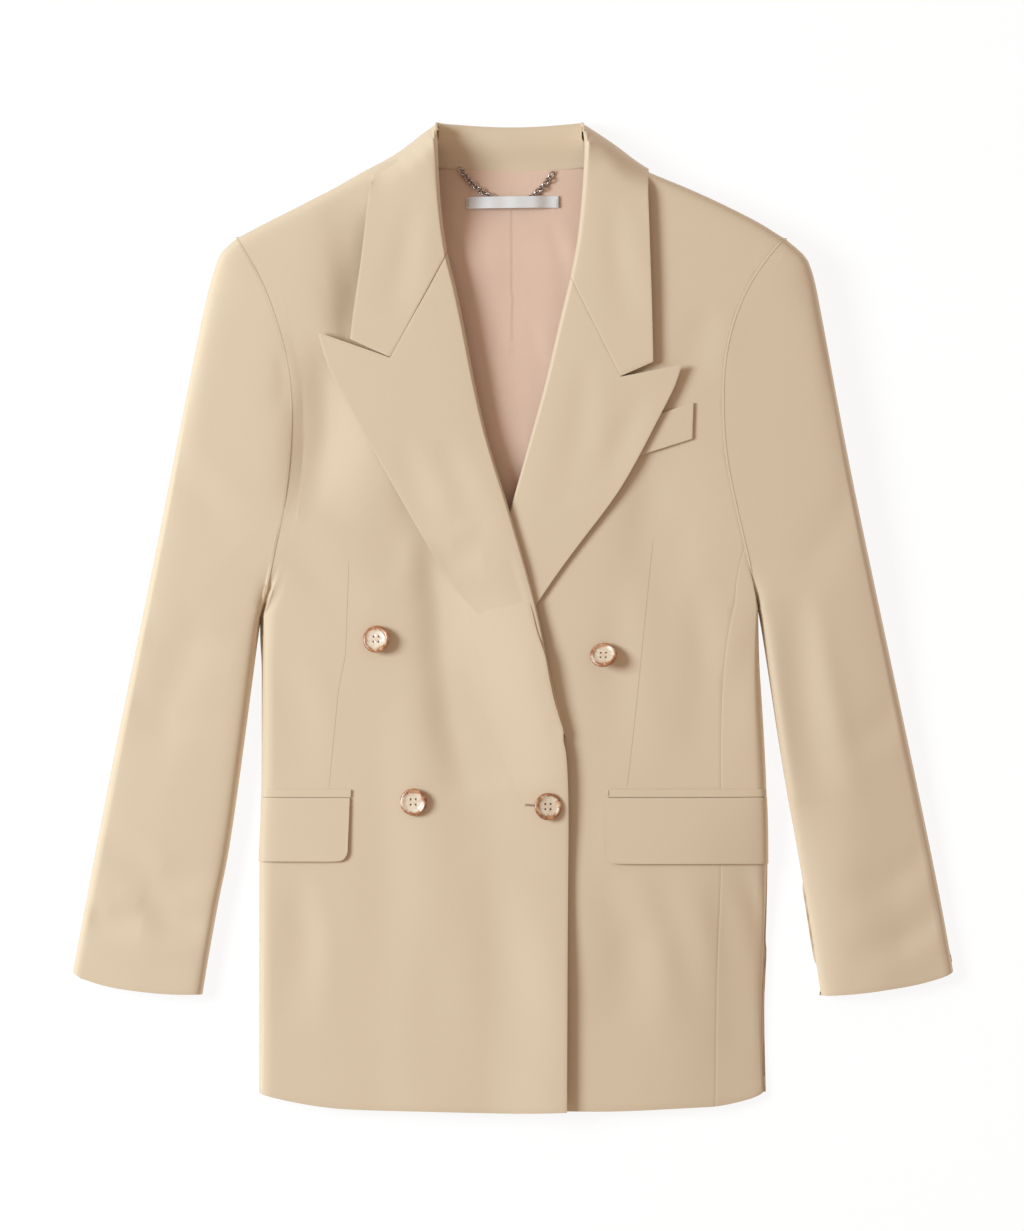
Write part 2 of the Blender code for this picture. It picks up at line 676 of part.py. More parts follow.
def make_back(side):
    outer = along(BACK_SEAM[side], SEAM_ROWS) + armhole(side, ARM_UNDER, SIDE_SEAM_TOP + 0.01)
    outer.append(SHOULDER_LINE[side][0])
    middle = [Vector((0, BACK_HEM[side][-1][1])), Vector((0, NECK_SEAM_Y))]
    inner = like(middle, outer)
    neck = smooth(NECK_SEAM[side], 6.0)
    shoulder_columns = [0.0, 0.2, 0.4, 0.6, 0.8, 1.0]
    top = chain_points((SHOULDER_LINE[side], shoulder_columns), (neck, evenly(5)))
    hem = hem_part(BACK_HEM_LINE[side], SIGN[side] * BACK_SIDE_SEAM, 0)
    grid = coons(like(hem, top), top, outer, inner)
    grid = raised(pull(grid, ["left", "right", "top"]), under_height)
    with_lip(grid, "top", [under_seam])
    cloth("back_" + side, [grid], face_up=False)


def make_side_right():
    side = "right"
    outer = along(FOLD_LINE[side], SEAM_ROWS)
    grid = floor_side_grid(side, outer, SEAM_ROWS)
    with_lip(grid, "left", [under_seam])
    cloth("side_right", [grid], face_up=False)


def floor_side_grid(side, outer, rows):
    """Floor side of a side panel, from the fold to the seam with the back."""
    inner = along(BACK_SEAM[side], rows)
    columns = crowded([0.55], UNDER_ROUND, 40)
    top = like(ARMHOLE_FOOT[side], along(ARMHOLE_FOOT[side], columns))
    hem = hem_part(BACK_HEM_LINE[side], BACK_HEM[side][0][0], SIGN[side] * BACK_SIDE_SEAM)
    grid = coons(along(hem, columns), top, outer, inner)
    return raised(pull(grid, ["right", "top"]), under_height)


def make_side_left():
    """Left side panel, from its seam in front round the fold to the seam with the back."""
    side = "left"
    rows = SEAM_ROWS
    outer = along(FOLD_LINE[side], rows)
    columns = crowded([0.7], UPPER_ROUND, 40)
    hem = hem_part(FRONT_HEM_LINE[side], FRONT_HEM[side][0][0], SIDE_SEAM_LEFT[0][0])
    top = [ARMHOLE_FOOT[side][0]] + along(ARMHOLE_FOOT[side], columns)[1:]
    face = coons(along(hem, columns), top, outer, along(FRONT_SIDE_SEAM, rows))
    face = raised(pull(face, ["right", "top"]), lambda x, y: front_height(side, x, y))
    with_lip(face, "left", [lambda p: fold_mid(p.y)])
    floor = with_lip(floor_side_grid(side, outer, rows), "left", [lambda p: fold_mid(p.y)])
    cloth("side_left", [face, floor])


# ================================================================ sleeves
def sleeve_grid(side, shares, columns, height):
    inner = along(INNER_LINE[side], evenly(8)) + armhole(side, shares)
    inner.append(OUTER_LINE[side][-1])
    outer = like(part_of(OUTER_LINE[side], 0.0, SLEEVE_HEAD), inner)
    head = part_of(OUTER_LINE[side], SLEEVE_HEAD, 1.0)
    cuff = smooth(CUFF[side])
    grid = coons(along(cuff, columns), along(head, columns), outer, inner)
    return raised(pull(grid, ["right"]), height)


def make_sleeve(side):
    width = 120.0
    columns = crowded([0.25, 0.37, 0.5, 0.63, 0.75], UPPER_ROUND, width, ("start", "end"))
    upper = sleeve_grid(side, ARM_SHARES, columns, upper_height)
    for edge in ("left", "right", "top"):
        with_lip(upper, edge, [upper_seam])
    cloth("sleeve_upper_" + side, [upper])
    columns = crowded([0.33, 0.67], UNDER_ROUND, width, ("start", "end"))
    under = sleeve_grid(side, ARM_UNDER, columns, under_height)
    for edge in ("left", "right", "top"):
        with_lip(under, edge, [under_seam])
    cloth("sleeve_under_" + side, [under], face_up=False)


# ================================================================ lapels and collar
def roll_foot(side):
    """Foot of the wall that closes a turned piece at its roll line."""
    def foot(point):
        low = front_height(side, point.x, point.y) - CLOTH
        low += (FOLD_MID + FOLD_LIP - low) * ease(point.y, 385, 402)
        return min(low, point.z)
    return foot


def make_lapel(side):
    gorge = [Vector(p) for p in GORGE[side]]
    peak = [Vector(p) for p in LAPEL_TOP[side]]
    top = chain_points((gorge, GORGE_SHARES), (peak, evenly(3)))
    foot = like([Vector(p) for p in LAPEL_FOOT[side]], top)
    start, end = [share_near(ROLL[side], p) for p in (LAPEL_FOOT[side][0], GORGE[side][0])]
    rows = evenly(13)
    roll = along(part_of(ROLL[side], start, end), rows)
    outer = along(smooth(LAPEL_OUTER[side] + (LAPEL_TOP[side][-1],)), rows)
    roll[0], outer[0], roll[-1], outer[-1] = foot[0], foot[-1], top[0], top[-1]
    grid = pull(coons(foot, top, roll, outer), ["top"], GORGE_GAP / 2)
    grid = raised(grid, lambda x, y: lapel_height(side, x, y))
    with_lip(grid, "left", [roll_foot(side)])
    cloth("lapel_" + side, [grid])


def collar_front_grid(side):
    gorge = [Vector(p) for p in GORGE[side]]
    end = [Vector(p) for p in COLLAR_END[side]]
    bottom = chain_points((gorge, GORGE_SHARES), (end, evenly(2)))
    top = along(COLLAR_SLANT[side], SLANT_SHARES)
    rows = crowded([0.2, 0.4, 0.6], COLLAR_ROUND, 120, ("end",))
    start = share_near(ROLL[side], GORGE[side][0])
    roll = along(part_of(ROLL[side], start, 1.0), rows)
    outer = along(COLLAR_EDGE[side], rows)
    roll[0], outer[0] = bottom[0], bottom[-1]
    grid = pull(coons(bottom, top, roll, outer), ["bottom"], GORGE_GAP / 2)
    grid = raised(grid, lambda x, y: collar_height(side, x, y))
    return with_lip(grid, "left", [roll_foot(side)])


def make_collar():
    columns = crowded([0.3, 0.5, 0.7], UNDER_ROUND, 122, ("start", "end"))
    back_top = along(BACK_TOP_LINE, columns)
    floor_rows = [along(list(reversed(COLLAR_SLANT[s])), [1 - k for k in reversed(SLANT_SHARES)])
                  for s in SIDES]
    edge = along(smooth(COLLAR_BACK_EDGE), columns)
    floor = raised(coons(edge, back_top, *floor_rows), under_collar_height)
    seam = [Vector((BAND_END[s][-1][0], COLLAR_BAND_SEAM)) for s in SIDES]
    rows = [0, 0.3, 0.55, 0.75, 0.9, 0.975, 1]
    ends = []
    for s in SIDES:
        low, high = BAND_END[s][-1], COLLAR_CORNER[s]
        ends.append(along(smooth((low, (low[0], high[1] - 3), high), 2.0), rows))
    turn = raised(pull(coons(along(seam, columns), back_top, *ends), ["bottom"]), turn_height)
    cloth("collar_fall", [collar_front_grid("right"), collar_front_grid("left"), floor, turn])


def make_band():
    columns = evenly(10)
    foot = along(smooth(BAND_FOOT), columns)
    seam = [Vector((BAND_END[s][-1][0], COLLAR_BAND_SEAM)) for s in SIDES]
    rows = evenly(5)
    ends = [along(smooth(BAND_END[s], 3.0), rows) for s in SIDES]
    grid = pull(coons(foot, along(seam, columns), *ends), ["bottom", "top"])
    cloth("collar_band", [raised(grid, band_height)])


def make_lining():
    columns = evenly(8)
    top = along(smooth(BAND_FOOT[1:-1]), columns)
    bottom = along([Vector((-35, 60)), Vector((35, 60))], columns)
    rows = evenly(9)
    right = along(smooth(((-35, 60), (-50, 148), (-72, 266), (-80, 340), BAND_FOOT[1])), rows)
    left = along(smooth(((35, 60), (46, 148), (70, 266), (78, 340), BAND_FOOT[-2])), rows)
    grid = raised(pull(coons(bottom, top, right, left), ["top"]), lining_height)
    cloth("back_lining", [grid], "lining", LINING)


# ================================================================ pockets
def side_surface(side, distance, y):
    """Point of the body's section at a height y: distance inwards from the side fold,
    on the front for a positive distance and on the floor side for a negative one."""
    x = line_x(FOLD_LINE[side], y) - SIGN[side] * abs(distance)
    floor_side = distance < 0
    return Vector((x, y, under_height(x, y) if floor_side else front_height(side, x, y)))


def laid_on_side(side, distances, away, y_at):
    """One row of points moved out from the body's section round its side fold."""
    points = [side_surface(side, d, y_at(d)) for d in distances]
    row = []
    for i, point in enumerate(points):
        run = points[min(i + 1, len(points) - 1)] - points[max(i - 1, 0)]
        out = Vector((-run.z, 0, run.x)).normalized() * SIGN[side]
        row.append(point + out * away)
    return row


def pocket_distances(side, inner_x, y):
    width = abs(line_x(FOLD_LINE[side], y) - inner_x)
    flat = [width, width - 1.2, width - 4, width - 8]
    flat += [width - 8 - (width - 8 - UPPER_ROUND) * i / 3 for i in (1, 2)]
    return flat + [UPPER_ROUND * k for k in CROWD] + [-0.0001]


def make_pocket(side):
    inner_x, top, bottom = HIP_JET[side]
    distances = pocket_distances(side, inner_x, top)
    jet = [laid_on_side(side, distances, LAY + JET, lambda d, y=y: y) for y in (top, bottom)]
    cloth("pocket_jet_" + side, [jet], "wool", JET)
    inner_x, top, bottom = HIP_FLAP[side]
    distances = pocket_distances(side, inner_x, top)

    def flap_y(share):
        def y_at(distance):
            across = min(1.0, (distances[0] - distance) / FLAP_CORNER)
            corner = FLAP_CORNER * (1 - math.sqrt(max(0.0, 1 - (1 - across) ** 2)))
            return top + (bottom + corner - top) * share
        return y_at
    flap = [laid_on_side(side, distances, LAY + CLOTH + 0.8 * k, flap_y(k)) for k in evenly(4)]
    cloth("pocket_flap_" + side, [flap])


def make_breast_welt():
    foot, top = ([Vector(p) for p in ends] for ends in (BREAST_WELT_FOOT, BREAST_WELT_TOP))
    columns = evenly(4)
    grid = coons(along(foot, columns), along(top, columns),
                 along([foot[0], top[0]], evenly(3)), along([foot[1], top[1]], evenly(3)))
    cloth("breast_welt", [raised(grid, lambda x, y: front_height("left", x, y) + LAY + CLOTH)])


# ================================================================ buttons, label, chain
def button_profile():
    """Half section from the middle of the dish over the rim to the middle of the back."""
    r, t = BUTTON_RADIUS, BUTTON_THICK
    return ((0, 0.6 * t), (0.62 * r, 0.64 * t), (0.78 * r, 0.96 * t), (0.92 * r, 0.96 * t),
            (r, 0.6 * t), (0.95 * r, 0.2 * t), (0.84 * r, 0), (0, 0))


def make_button(name, x, y, lean_x, lean_y, side):
    mesh = bpy.data.meshes.new(name)
    points = [Vector((r, 0, z)) * MM for r, z in button_profile()]
    mesh.from_pydata(points, [(i, i + 1) for i in range(len(points) - 1)], [])
    button = finish(name, mesh, "horn")
    turn = button.modifiers.new("turn", "SCREW")
    turn.steps = turn.render_steps = BUTTON_FACETS
    turn.use_merge_vertices = True
    turn.merge_threshold = 0.00001
    tilt = Matrix.Rotation(math.radians(lean_y), 4, "Y") @ Matrix.Rotation(math.radians(lean_x), 4, "X")
    rim = [tilt @ Vector((0.9 * BUTTON_RADIUS * math.cos(a), 0.9 * BUTTON_RADIUS * math.sin(a), 0))
           for a in (math.tau * i / 24 for i in range(24))]
    seat = max(front_height(side, x + p.x, y + p.y) - p.z for p in rim) + LAY
    place = Matrix.Translation(Vector((x, y, seat)) * MM) @ tilt
    button.matrix_world = place
    work = bmesh.new()
    for a in (-1, 1):
        for b in (-1, 1):
            spot = Matrix.Translation(Vector((a, b, 0)) * BUTTON_HOLE_OUT * MM)
            bmesh.ops.create_cone(work, cap_ends=True, segments=6, radius1=BUTTON_HOLE * MM,
                                  radius2=BUTTON_HOLE * MM, depth=DRILL_LENGTH * MM, matrix=spot)
    drill_mesh = bpy.data.meshes.new(name + "_holes")
    work.to_mesh(drill_mesh)
    work.free()
    drill = bpy.data.objects.new(name + "_holes", drill_mesh)
    cutters.objects.link(drill)
    drill.matrix_world = place
    drill.hide_render = True
    drill.display_type = "WIRE"
    cut = button.modifiers.new("thread holes", "BOOLEAN")
    cut.object = drill
    cut.operation = "DIFFERENCE"


def make_label():
    length, width = LABEL
    cx, cy = LABEL_MIDDLE
    rows = []
    for b in (-0.5, 0.5):
        row = []
        for k in evenly(10):
            a = k - 0.5
            x, y = cx + a * length, cy + b * width + LABEL_SLOPE * a
            proud = LABEL_PROUD * (1 - ease(abs(a) * length, 18, 34))
            row.append(Vector((x, y, lining_height(x, y) + LAY + LINING + proud)))
        rows.append(row)
    cloth("neck_label", [rows], "label", LINING)


def make_chain():
    route = smooth(CHAIN_ROUTE, 5.0)
    curve = bpy.data.curves.new("hanger_chain", "CURVE")
    curve.dimensions = "3D"
    curve.bevel_depth = CHAIN_RADIUS * MM
    curve.bevel_resolution = 2
    curve.use_fill_caps = True
    spline = curve.splines.new("POLY")
    spline.points.add(len(route) - 1)
    for point, p in zip(spline.points, route):
        z = lining_height(p.x, p.y) + LAY + CHAIN_RADIUS
        point.co = (p.x * MM, p.y * MM, z * MM, 1)
    curve.materials.append(material("chain"))
    blazer.objects.link(bpy.data.objects.new("hanger_chain", curve))


# ================================================================ the blazer
for old in list(bpy.data.objects):
    bpy.data.objects.remove(old, do_unlink=True)
blazer = bpy.data.collections.new("double_breasted_blazer")
cutters = bpy.data.collections.new("cutters")
for group in (blazer, cutters):
    bpy.context.scene.collection.children.link(group)

make_front_right()
make_front_left()
make_side_right()
make_side_left()
for each_side in SIDES:
    make_back(each_side)
    make_sleeve(each_side)
    make_lapel(each_side)
    make_pocket(each_side)
make_collar()
make_band()
make_lining()
make_breast_welt()
make_label()
make_chain()
for button_name, placing in BUTTONS.items():
    make_button(button_name, *placing)
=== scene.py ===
import json
import math

import bmesh
import bpy
import numpy as np
from mathutils import Matrix, Vector
from mathutils.bvhtree import BVHTree
from mathutils.kdtree import KDTree

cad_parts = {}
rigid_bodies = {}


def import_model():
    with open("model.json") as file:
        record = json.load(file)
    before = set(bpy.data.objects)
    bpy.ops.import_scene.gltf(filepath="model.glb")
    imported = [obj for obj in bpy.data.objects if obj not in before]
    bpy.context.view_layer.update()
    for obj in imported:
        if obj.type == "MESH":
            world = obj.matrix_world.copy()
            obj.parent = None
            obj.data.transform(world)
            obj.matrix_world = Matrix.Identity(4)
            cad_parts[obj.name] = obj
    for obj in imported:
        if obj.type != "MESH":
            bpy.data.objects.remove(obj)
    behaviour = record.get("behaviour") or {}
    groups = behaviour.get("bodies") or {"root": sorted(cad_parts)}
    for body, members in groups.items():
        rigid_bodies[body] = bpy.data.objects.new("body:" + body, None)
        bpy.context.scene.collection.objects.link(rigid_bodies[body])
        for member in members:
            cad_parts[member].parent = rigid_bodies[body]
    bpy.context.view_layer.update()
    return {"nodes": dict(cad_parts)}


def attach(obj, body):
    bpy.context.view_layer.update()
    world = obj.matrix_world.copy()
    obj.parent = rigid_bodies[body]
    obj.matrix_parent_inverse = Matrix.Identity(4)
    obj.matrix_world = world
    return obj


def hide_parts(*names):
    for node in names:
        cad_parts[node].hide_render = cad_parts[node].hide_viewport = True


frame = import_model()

for thing in bpy.data.objects:
    thing.select_set(False)

MM = 0.001
SIDES = ("right", "left")       # the wearer's; right lies at -X


# ======== materials
class Value:
    """A number inside a material, so that its maths is written as Python."""

    def __init__(self, finish, socket):
        self.finish, self.socket = finish, socket

    def maths(self, operation, *others):
        node = self.finish.add("Math", {"operation": operation}, [self, *others])
        return Value(self.finish, node.outputs[0])

    def __add__(self, other):
        return self.maths("ADD", other)

    def __sub__(self, other):
        return self.maths("SUBTRACT", other)

    def __rsub__(self, other):
        return (self * -1) + other

    def __mul__(self, other):
        return self.maths("MULTIPLY", other)

    __radd__, __rmul__ = __add__, __mul__

    def size(self):
        return self.maths("ABSOLUTE")

    def wave(self):
        return self.maths("SINE")

    def least(self, other):
        return self.maths("MINIMUM", other)

    def most(self, other):
        return self.maths("MAXIMUM", other)

    def held(self):
        """Held between 0 and 1."""
        return self.most(0.0).least(1.0)

    def step(self, start, end):
        """Smooth step from 0 at start to 1 at end."""
        node = self.finish.add("MapRange", {"interpolation_type": "SMOOTHSTEP"},
                               {"Value": self, "From Min": start, "From Max": end})
        return Value(self.finish, node.outputs["Result"])


class Finish:
    """One material: a Principled shader and the nodes that feed it."""

    def __init__(self, name, colour, roughness, metallic=0.0):
        self.material = bpy.data.materials.new(name)
        self.material.use_nodes = True
        self.tree = self.material.node_tree
        self.shader = self.tree.nodes["Principled BSDF"]
        self.set("Base Color", (*colour, 1))
        self.set("Roughness", roughness)
        self.set("Metallic", metallic)
        self.material.diffuse_color = (*colour, 1)

    def set(self, socket, value):
        """Give one of the shader's own sockets a constant, a value or a colour."""
        self.feed(self.shader.inputs[socket], value)

    def feed(self, socket, value):
        if isinstance(value, Value):
            value = value.socket
        if isinstance(value, bpy.types.NodeSocket):
            self.tree.links.new(value, socket)
        else:
            socket.default_value = value

    def add(self, kind, settings=None, sockets=()):
        """Add a node of this kind with its settings, then the values or links of its sockets."""
        node = self.tree.nodes.new("ShaderNode" + kind)
        for key, value in (settings or {}).items():
            setattr(node, key, value)
        pairs = sockets.items() if isinstance(sockets, dict) else enumerate(sockets)
        for key, value in pairs:
            self.feed(node.inputs[key], value)
        return node

    def place(self, turn=0.0, scale=(1, 1, 1), about=(0, 0, 0)):
        """Object coordinates, turned about Z and stretched."""
        seen = self.add("TexCoord").outputs["Object"]
        moved = self.add("VectorMath", {"operation": "SUBTRACT"}, [seen, about])
        return self.add("Mapping", {}, {
            "Vector": moved.outputs[0], "Rotation": (0, 0, turn), "Scale": scale}).outputs[0]

    def parts(self, vector):
        """A vector's X, Y and Z."""
        node = self.add("SeparateXYZ", {}, [vector])
        return [Value(self, node.outputs[i]) for i in range(3)]

    def noise(self, vector, scale, detail=2.0, roughness=0.5, distortion=0.0):
        node = self.add("TexNoise", {}, {
            "Vector": vector, "Scale": scale, "Detail": detail, "Roughness": roughness,
            "Distortion": distortion})
        return Value(self, node.outputs[0])

    def own(self, name):
        """A number that the piece keeps at each of its points."""
        node = self.add("Attribute", {"attribute_name": name})
        return Value(self, node.outputs["Fac"])

    def mix(self, share, low, high):
        """A colour between low and high."""
        node = self.add("Mix", {"data_type": "RGBA"})
        for socket, value in ((node.inputs[0], share), (node.inputs[6], low),
                              (node.inputs[7], high)):
            if isinstance(value, tuple) and len(value) == 3:
                value = (*value, 1)
            self.feed(socket, value)
        return node.outputs[2]

    def bump(self, height, depth, strength):
        return self.add("Bump", {}, {
            "Height": height, "Distance": depth, "Strength": strength}).outputs[0]

    def varied(self, colour, roughness, normal):
        """The material, with what changes over its surface."""
        self.set("Base Color", colour)
        self.set("Roughness", roughness)
        self.set("Normal", normal)
        return self.material


WOOL_LIGHT = (0.735, 0.600, 0.432)
WOOL_DEEP = (0.690, 0.552, 0.388)
# colour of the darts' dark line and of the painted shadow along the right armhole seam
DART_LINE_AND_SEAM_SHADOW = (0.44, 0.32, 0.21)
TWILL_PITCH = 0.85 * MM
SATIN_PITCH = 0.45 * MM
TWIST_PITCH = 0.35 * MM


def wool(name, turn=0.0, dart_and_seam_shadow_lines=False):
    """Fine twill with a brushed face, turned in the plane; with its flag set it darkens the waist
    dart's line and paints shadow along the right armhole seam.
    """
    finish = Finish(name, WOOL_LIGHT, 0.8)
    finish.set("Sheen Weight", 0.18)
    finish.set("Sheen Roughness", 0.45)
    finish.set("Specular IOR Level", 0.25)
    spot = finish.place(turn)
    x, y, z = finish.parts(spot)
    rib = ((x * 0.9 + y * 0.75 + z * 0.6) * (math.tau / TWILL_PITCH)).wave()
    slub = finish.noise(finish.place(turn, (900, 160, 900)), 1.0)
    pick = finish.noise(finish.place(turn, (200, 1100, 1100)), 1.0)
    drift = finish.noise(spot, 7.0, 3.0, 0.55)
    patch = finish.noise(spot, 38.0)
    tone = (slub * 0.35 + pick * 0.25 + rib * 0.06 + drift * 0.35 + patch * 0.15).held()
    colour = finish.mix(tone, WOOL_DEEP, WOOL_LIGHT)
    height = rib * 0.35 + slub * 0.6 + pick * 0.5
    # the dart's dark line, and painted shadow along the right armhole seam: darker colour and a
    # lower bump
    if dart_and_seam_shadow_lines:
        dart_and_seam_shadow_line = (1 - (finish.own("dart_and_seam_shadow_line").size() - 0.1) * 2.2).held() * finish.own("dart_and_seam_shadow_strength")
        colour = finish.mix(dart_and_seam_shadow_line * 0.5, colour, DART_LINE_AND_SEAM_SHADOW)
        height = height - dart_and_seam_shadow_line * 2.5
    return finish.varied(colour, 0.74 + pick * 0.12, finish.bump(height, 0.06 * MM, 0.55))


def lining_cloth():
    """Smooth woven lining with a low satin gleam."""
    finish = Finish("lining_twill", (0.77, 0.55, 0.42), 0.5)
    finish.set("Sheen Weight", 0.15)
    finish.set("Specular IOR Level", 0.35)
    across = finish.noise(finish.place(0.0, (1400, 60, 60)), 1.0)
    along = finish.noise(finish.place(0.0, (60, 1400, 60)), 1.0)
    drift = finish.noise(finish.place(), 12.0, 3.0)
    colour = finish.mix((across * 0.35 + along * 0.25 + drift * 0.4).held(),
                        (0.69, 0.485, 0.375), (0.81, 0.59, 0.46))
    return finish.varied(colour, 0.42 + along * 0.16, finish.bump(across + along, 0.03 * MM, 0.4))


def label_satin():
    """Bare woven satin with fine cross ribs."""
    finish = Finish("label_satin", (0.76, 0.76, 0.76), 0.6)
    finish.set("Specular IOR Level", 0.3)
    rib = (finish.parts(finish.place())[1] * (math.tau / SATIN_PITCH)).wave()
    yarn = finish.noise(finish.place(0.0, (2200, 150, 150)), 1.0)
    colour = finish.mix((yarn * 0.8 + rib * 0.1).held(), (0.69, 0.69, 0.69), (0.83, 0.83, 0.82))
    return finish.varied(colour, 0.55 + yarn * 0.15,
                         finish.bump(rib * 0.5 + yarn, 0.04 * MM, 0.5))


def horn(name, seed):
    """Polished horn: cream in the dish, mottled amber and brown round the rim."""
    finish = Finish(name, (0.62, 0.45, 0.30), 0.22)
    finish.set("Specular IOR Level", 0.5)
    finish.set("Coat Weight", 0.35)
    finish.set("Coat Roughness", 0.12)
    spot = finish.place(0.0, (1, 1, 1), (seed * 0.37, seed * 0.21, 0))
    cloud = finish.noise(spot, 75.0, 3.0, 0.55, 0.8)
    streak = finish.noise(spot, 260.0, 5.0, 0.65, 1.5)
    brown = (finish.own("rim") + (cloud - 0.5) * 1.15).step(0.62, 0.84)
    cream = finish.mix(streak.step(0.35, 0.7), (0.72, 0.56, 0.40), (0.86, 0.76, 0.62))
    amber = finish.mix(streak.step(0.3, 0.66), (0.20, 0.062, 0.022), (0.56, 0.24, 0.10))
    light = finish.mix(cloud.step(0.52, 0.72), amber, (0.78, 0.55, 0.36))
    return finish.varied(finish.mix(brown, cream, light), 0.18 + streak * 0.12,
                         finish.bump(streak, 0.05 * MM, 0.25))


def gunmetal():
    """Dark polished chain metal, rubbed lighter in places."""
    finish = Finish("gunmetal", (0.42, 0.36, 0.33), 0.3, 1.0)
    scuff = finish.noise(finish.place(), 700.0, 3.0)
    colour = finish.mix(scuff.step(0.35, 0.6), (0.25, 0.20, 0.18), (0.76, 0.68, 0.63))
    return finish.varied(colour, 0.2 + scuff * 0.25, finish.bump(scuff, 0.04 * MM, 0.3))


def sewing_thread(name, colour):
    """Twisted thread, darker in the grooves of its twist: painted shade."""
    finish = Finish(name, colour, 0.6)
    finish.set("Sheen Weight", 0.2)
    x, y, z = finish.parts(finish.place())
    twist = ((x + y + z) * (math.tau / TWIST_PITCH)).wave()
    # painted shade: the colour darkens where the twist's bump is low
    twist_groove_shade = finish.mix((twist * 0.5 + 0.5).held(), tuple(0.8 * c for c in colour), colour)
    return finish.varied(twist_groove_shade, 0.55 + twist * 0.1, finish.bump(twist, 0.05 * MM, 0.5))


def backdrop():
    """Plain pale floor."""
    finish = Finish("pale_floor", (0.14, 0.14, 0.14), 0.9)
    finish.set("Specular IOR Level", 0.1)
    cloud = finish.noise(finish.place(), 3.0)
    finish.set("Base Color", finish.mix(cloud, (0.13, 0.13, 0.13), (0.15, 0.15, 0.15)))
    finish.set("Emission Color", (1, 1, 1, 1))
    finish.set("Emission Strength", 0.88)
    return finish.material


# ======== plane measures
def line_of(points):
    """A polyline through plane places in millimetres."""
    return np.array(points, float)


def stretches(line, spots):
    """For each stretch of a polyline: its start, its way, the share of it that each spot's
    nearest place has passed, the gap from spot to place, and that gap's length."""
    for a, b in zip(line, line[1:]):
        t = np.clip(((spots - a) @ (b - a)) / ((b - a) @ (b - a)), 0, 1)
        gap = a + t[:, None] * (b - a) - spots
        yield a, b - a, t, gap, np.hypot(gap[:, 0], gap[:, 1])


def from_line(line, spots):
    """Signed distance from each spot to a polyline, and the share of its length there."""
    best = np.full(len(spots), 1e9)
    signed, share = np.zeros(len(spots)), np.zeros(len(spots))
    steps = np.linalg.norm(np.diff(line, axis=0), axis=1)
    starts = np.concatenate(([0.0], np.cumsum(steps)))
    for i, (a, edge, t, _, far) in enumerate(stretches(line, spots)):
        side = np.sign(edge[0] * (spots[:, 1] - a[1]) - edge[1] * (spots[:, 0] - a[0]))
        near = far < best
        best[near] = far[near]
        signed[near] = (far * np.where(side == 0, 1, side))[near]
        share[near] = (starts[i] + t * steps[i])[near] / starts[-1]
    return signed, share


def ease(value, start, end):
    """Smooth step from 0 at start to 1 at end."""
    t = np.clip((value - start) / (end - start), 0, 1)
    return t * t * (3 - 2 * t)


def lower(plane, start, end):
    """Smooth step down the garment, from 0 at the height start to 1 at end."""
    return ease(-plane[:, 1], -start, -end)


def crease(spots, points, width, depth, ridge):
    """A soft trough that widens along a line, with a low ridge on its left."""
    away, share = from_line(line_of(points), spots)
    taper = np.sin(math.pi * np.clip(share, 0, 1)) ** 0.8
    spread = width * (0.75 + 0.5 * share)
    trough = np.exp(-(away / spread) ** 2)
    swell = np.exp(-((away / spread - 1.7) / 0.9) ** 2)
    return depth * taper * (ridge * swell - trough)


# ======== cloth
CORNER = math.radians(32)       # an outline that turns by more keeps its corner
FACE_END = math.radians(60)     # a solid's faces end at edges that turn by more
FACE_SHARE = 0.6                # a face under this share of the largest isn't the outer one
HEIGHT_WORTH = 20               # how much a metre of height counts in choosing it
SEAM_GAP = 0.3 * MM             # pieces that meet lie no farther apart
FLOOR_SIDE = ("side_right", "back_right", "back_left", "sleeve_under_right", "sleeve_under_left")


def connected(work):
    """The mesh's separate stretches of faces."""
    seen, groups = set(), []
    for start in work.faces:
        if start in seen:
            continue
        seen.add(start)
        group, waiting = [], [start]
        while waiting:
            face = waiting.pop()
            group.append(face)
            for edge in face.edges:
                for other in edge.link_faces:
                    if other not in seen:
                        seen.add(other)
                        waiting.append(other)
        groups.append(group)
    return groups


def outer_skin(node, face_up):
    """The outer face of a piece of cloth, taken from its solid as quads."""
    work = bmesh.new()
    work.from_mesh(frame["nodes"][node].data)
    bmesh.ops.remove_doubles(work, verts=work.verts, dist=0.01 * MM)
    bmesh.ops.dissolve_degenerate(work, dist=0.03 * MM, edges=work.edges)
    bmesh.ops.join_triangles(work, faces=work.faces, angle_face_threshold=FACE_END,
                             angle_shape_threshold=math.pi)
    sharp = [e for e in work.edges if len(e.link_faces) == 2 and e.calc_face_angle(0) > FACE_END]
    bmesh.ops.split_edges(work, edges=sharp)

    def area_of(group):
        return sum(face.calc_area() for face in group)

    def rank(group):
        """The larger and, on a piece that faces up, the higher face comes first."""
        area = area_of(group)
        height = sum(face.calc_center_median().z * face.calc_area() for face in group) / area
        return area * (1 + (HEIGHT_WORTH if face_up else -HEIGHT_WORTH) * height)

    groups = connected(work)
    largest = max(area_of(group) for group in groups)
    kept = max((group for group in groups if area_of(group) > FACE_SHARE * largest), key=rank)
    bmesh.ops.delete(work, geom=[f for f in work.faces if f not in kept], context="FACES")
    return work


def rims_at(vert):
    """The ways along the outline from one of its points."""
    return [e.other_vert(vert).co - vert.co for e in vert.link_edges if e.is_boundary]


def turn_at(vert):
    """The angle by which an outline turns at one of its points."""
    rims = rims_at(vert)
    return rims[0].angle(-rims[1], 0) if len(rims) == 2 else 0


SKINS = {node: outer_skin(node, node not in FLOOR_SIDE) for node, solid in frame["nodes"].items()
         if solid.type == "MESH" and not node.startswith(("button", "hanger"))}


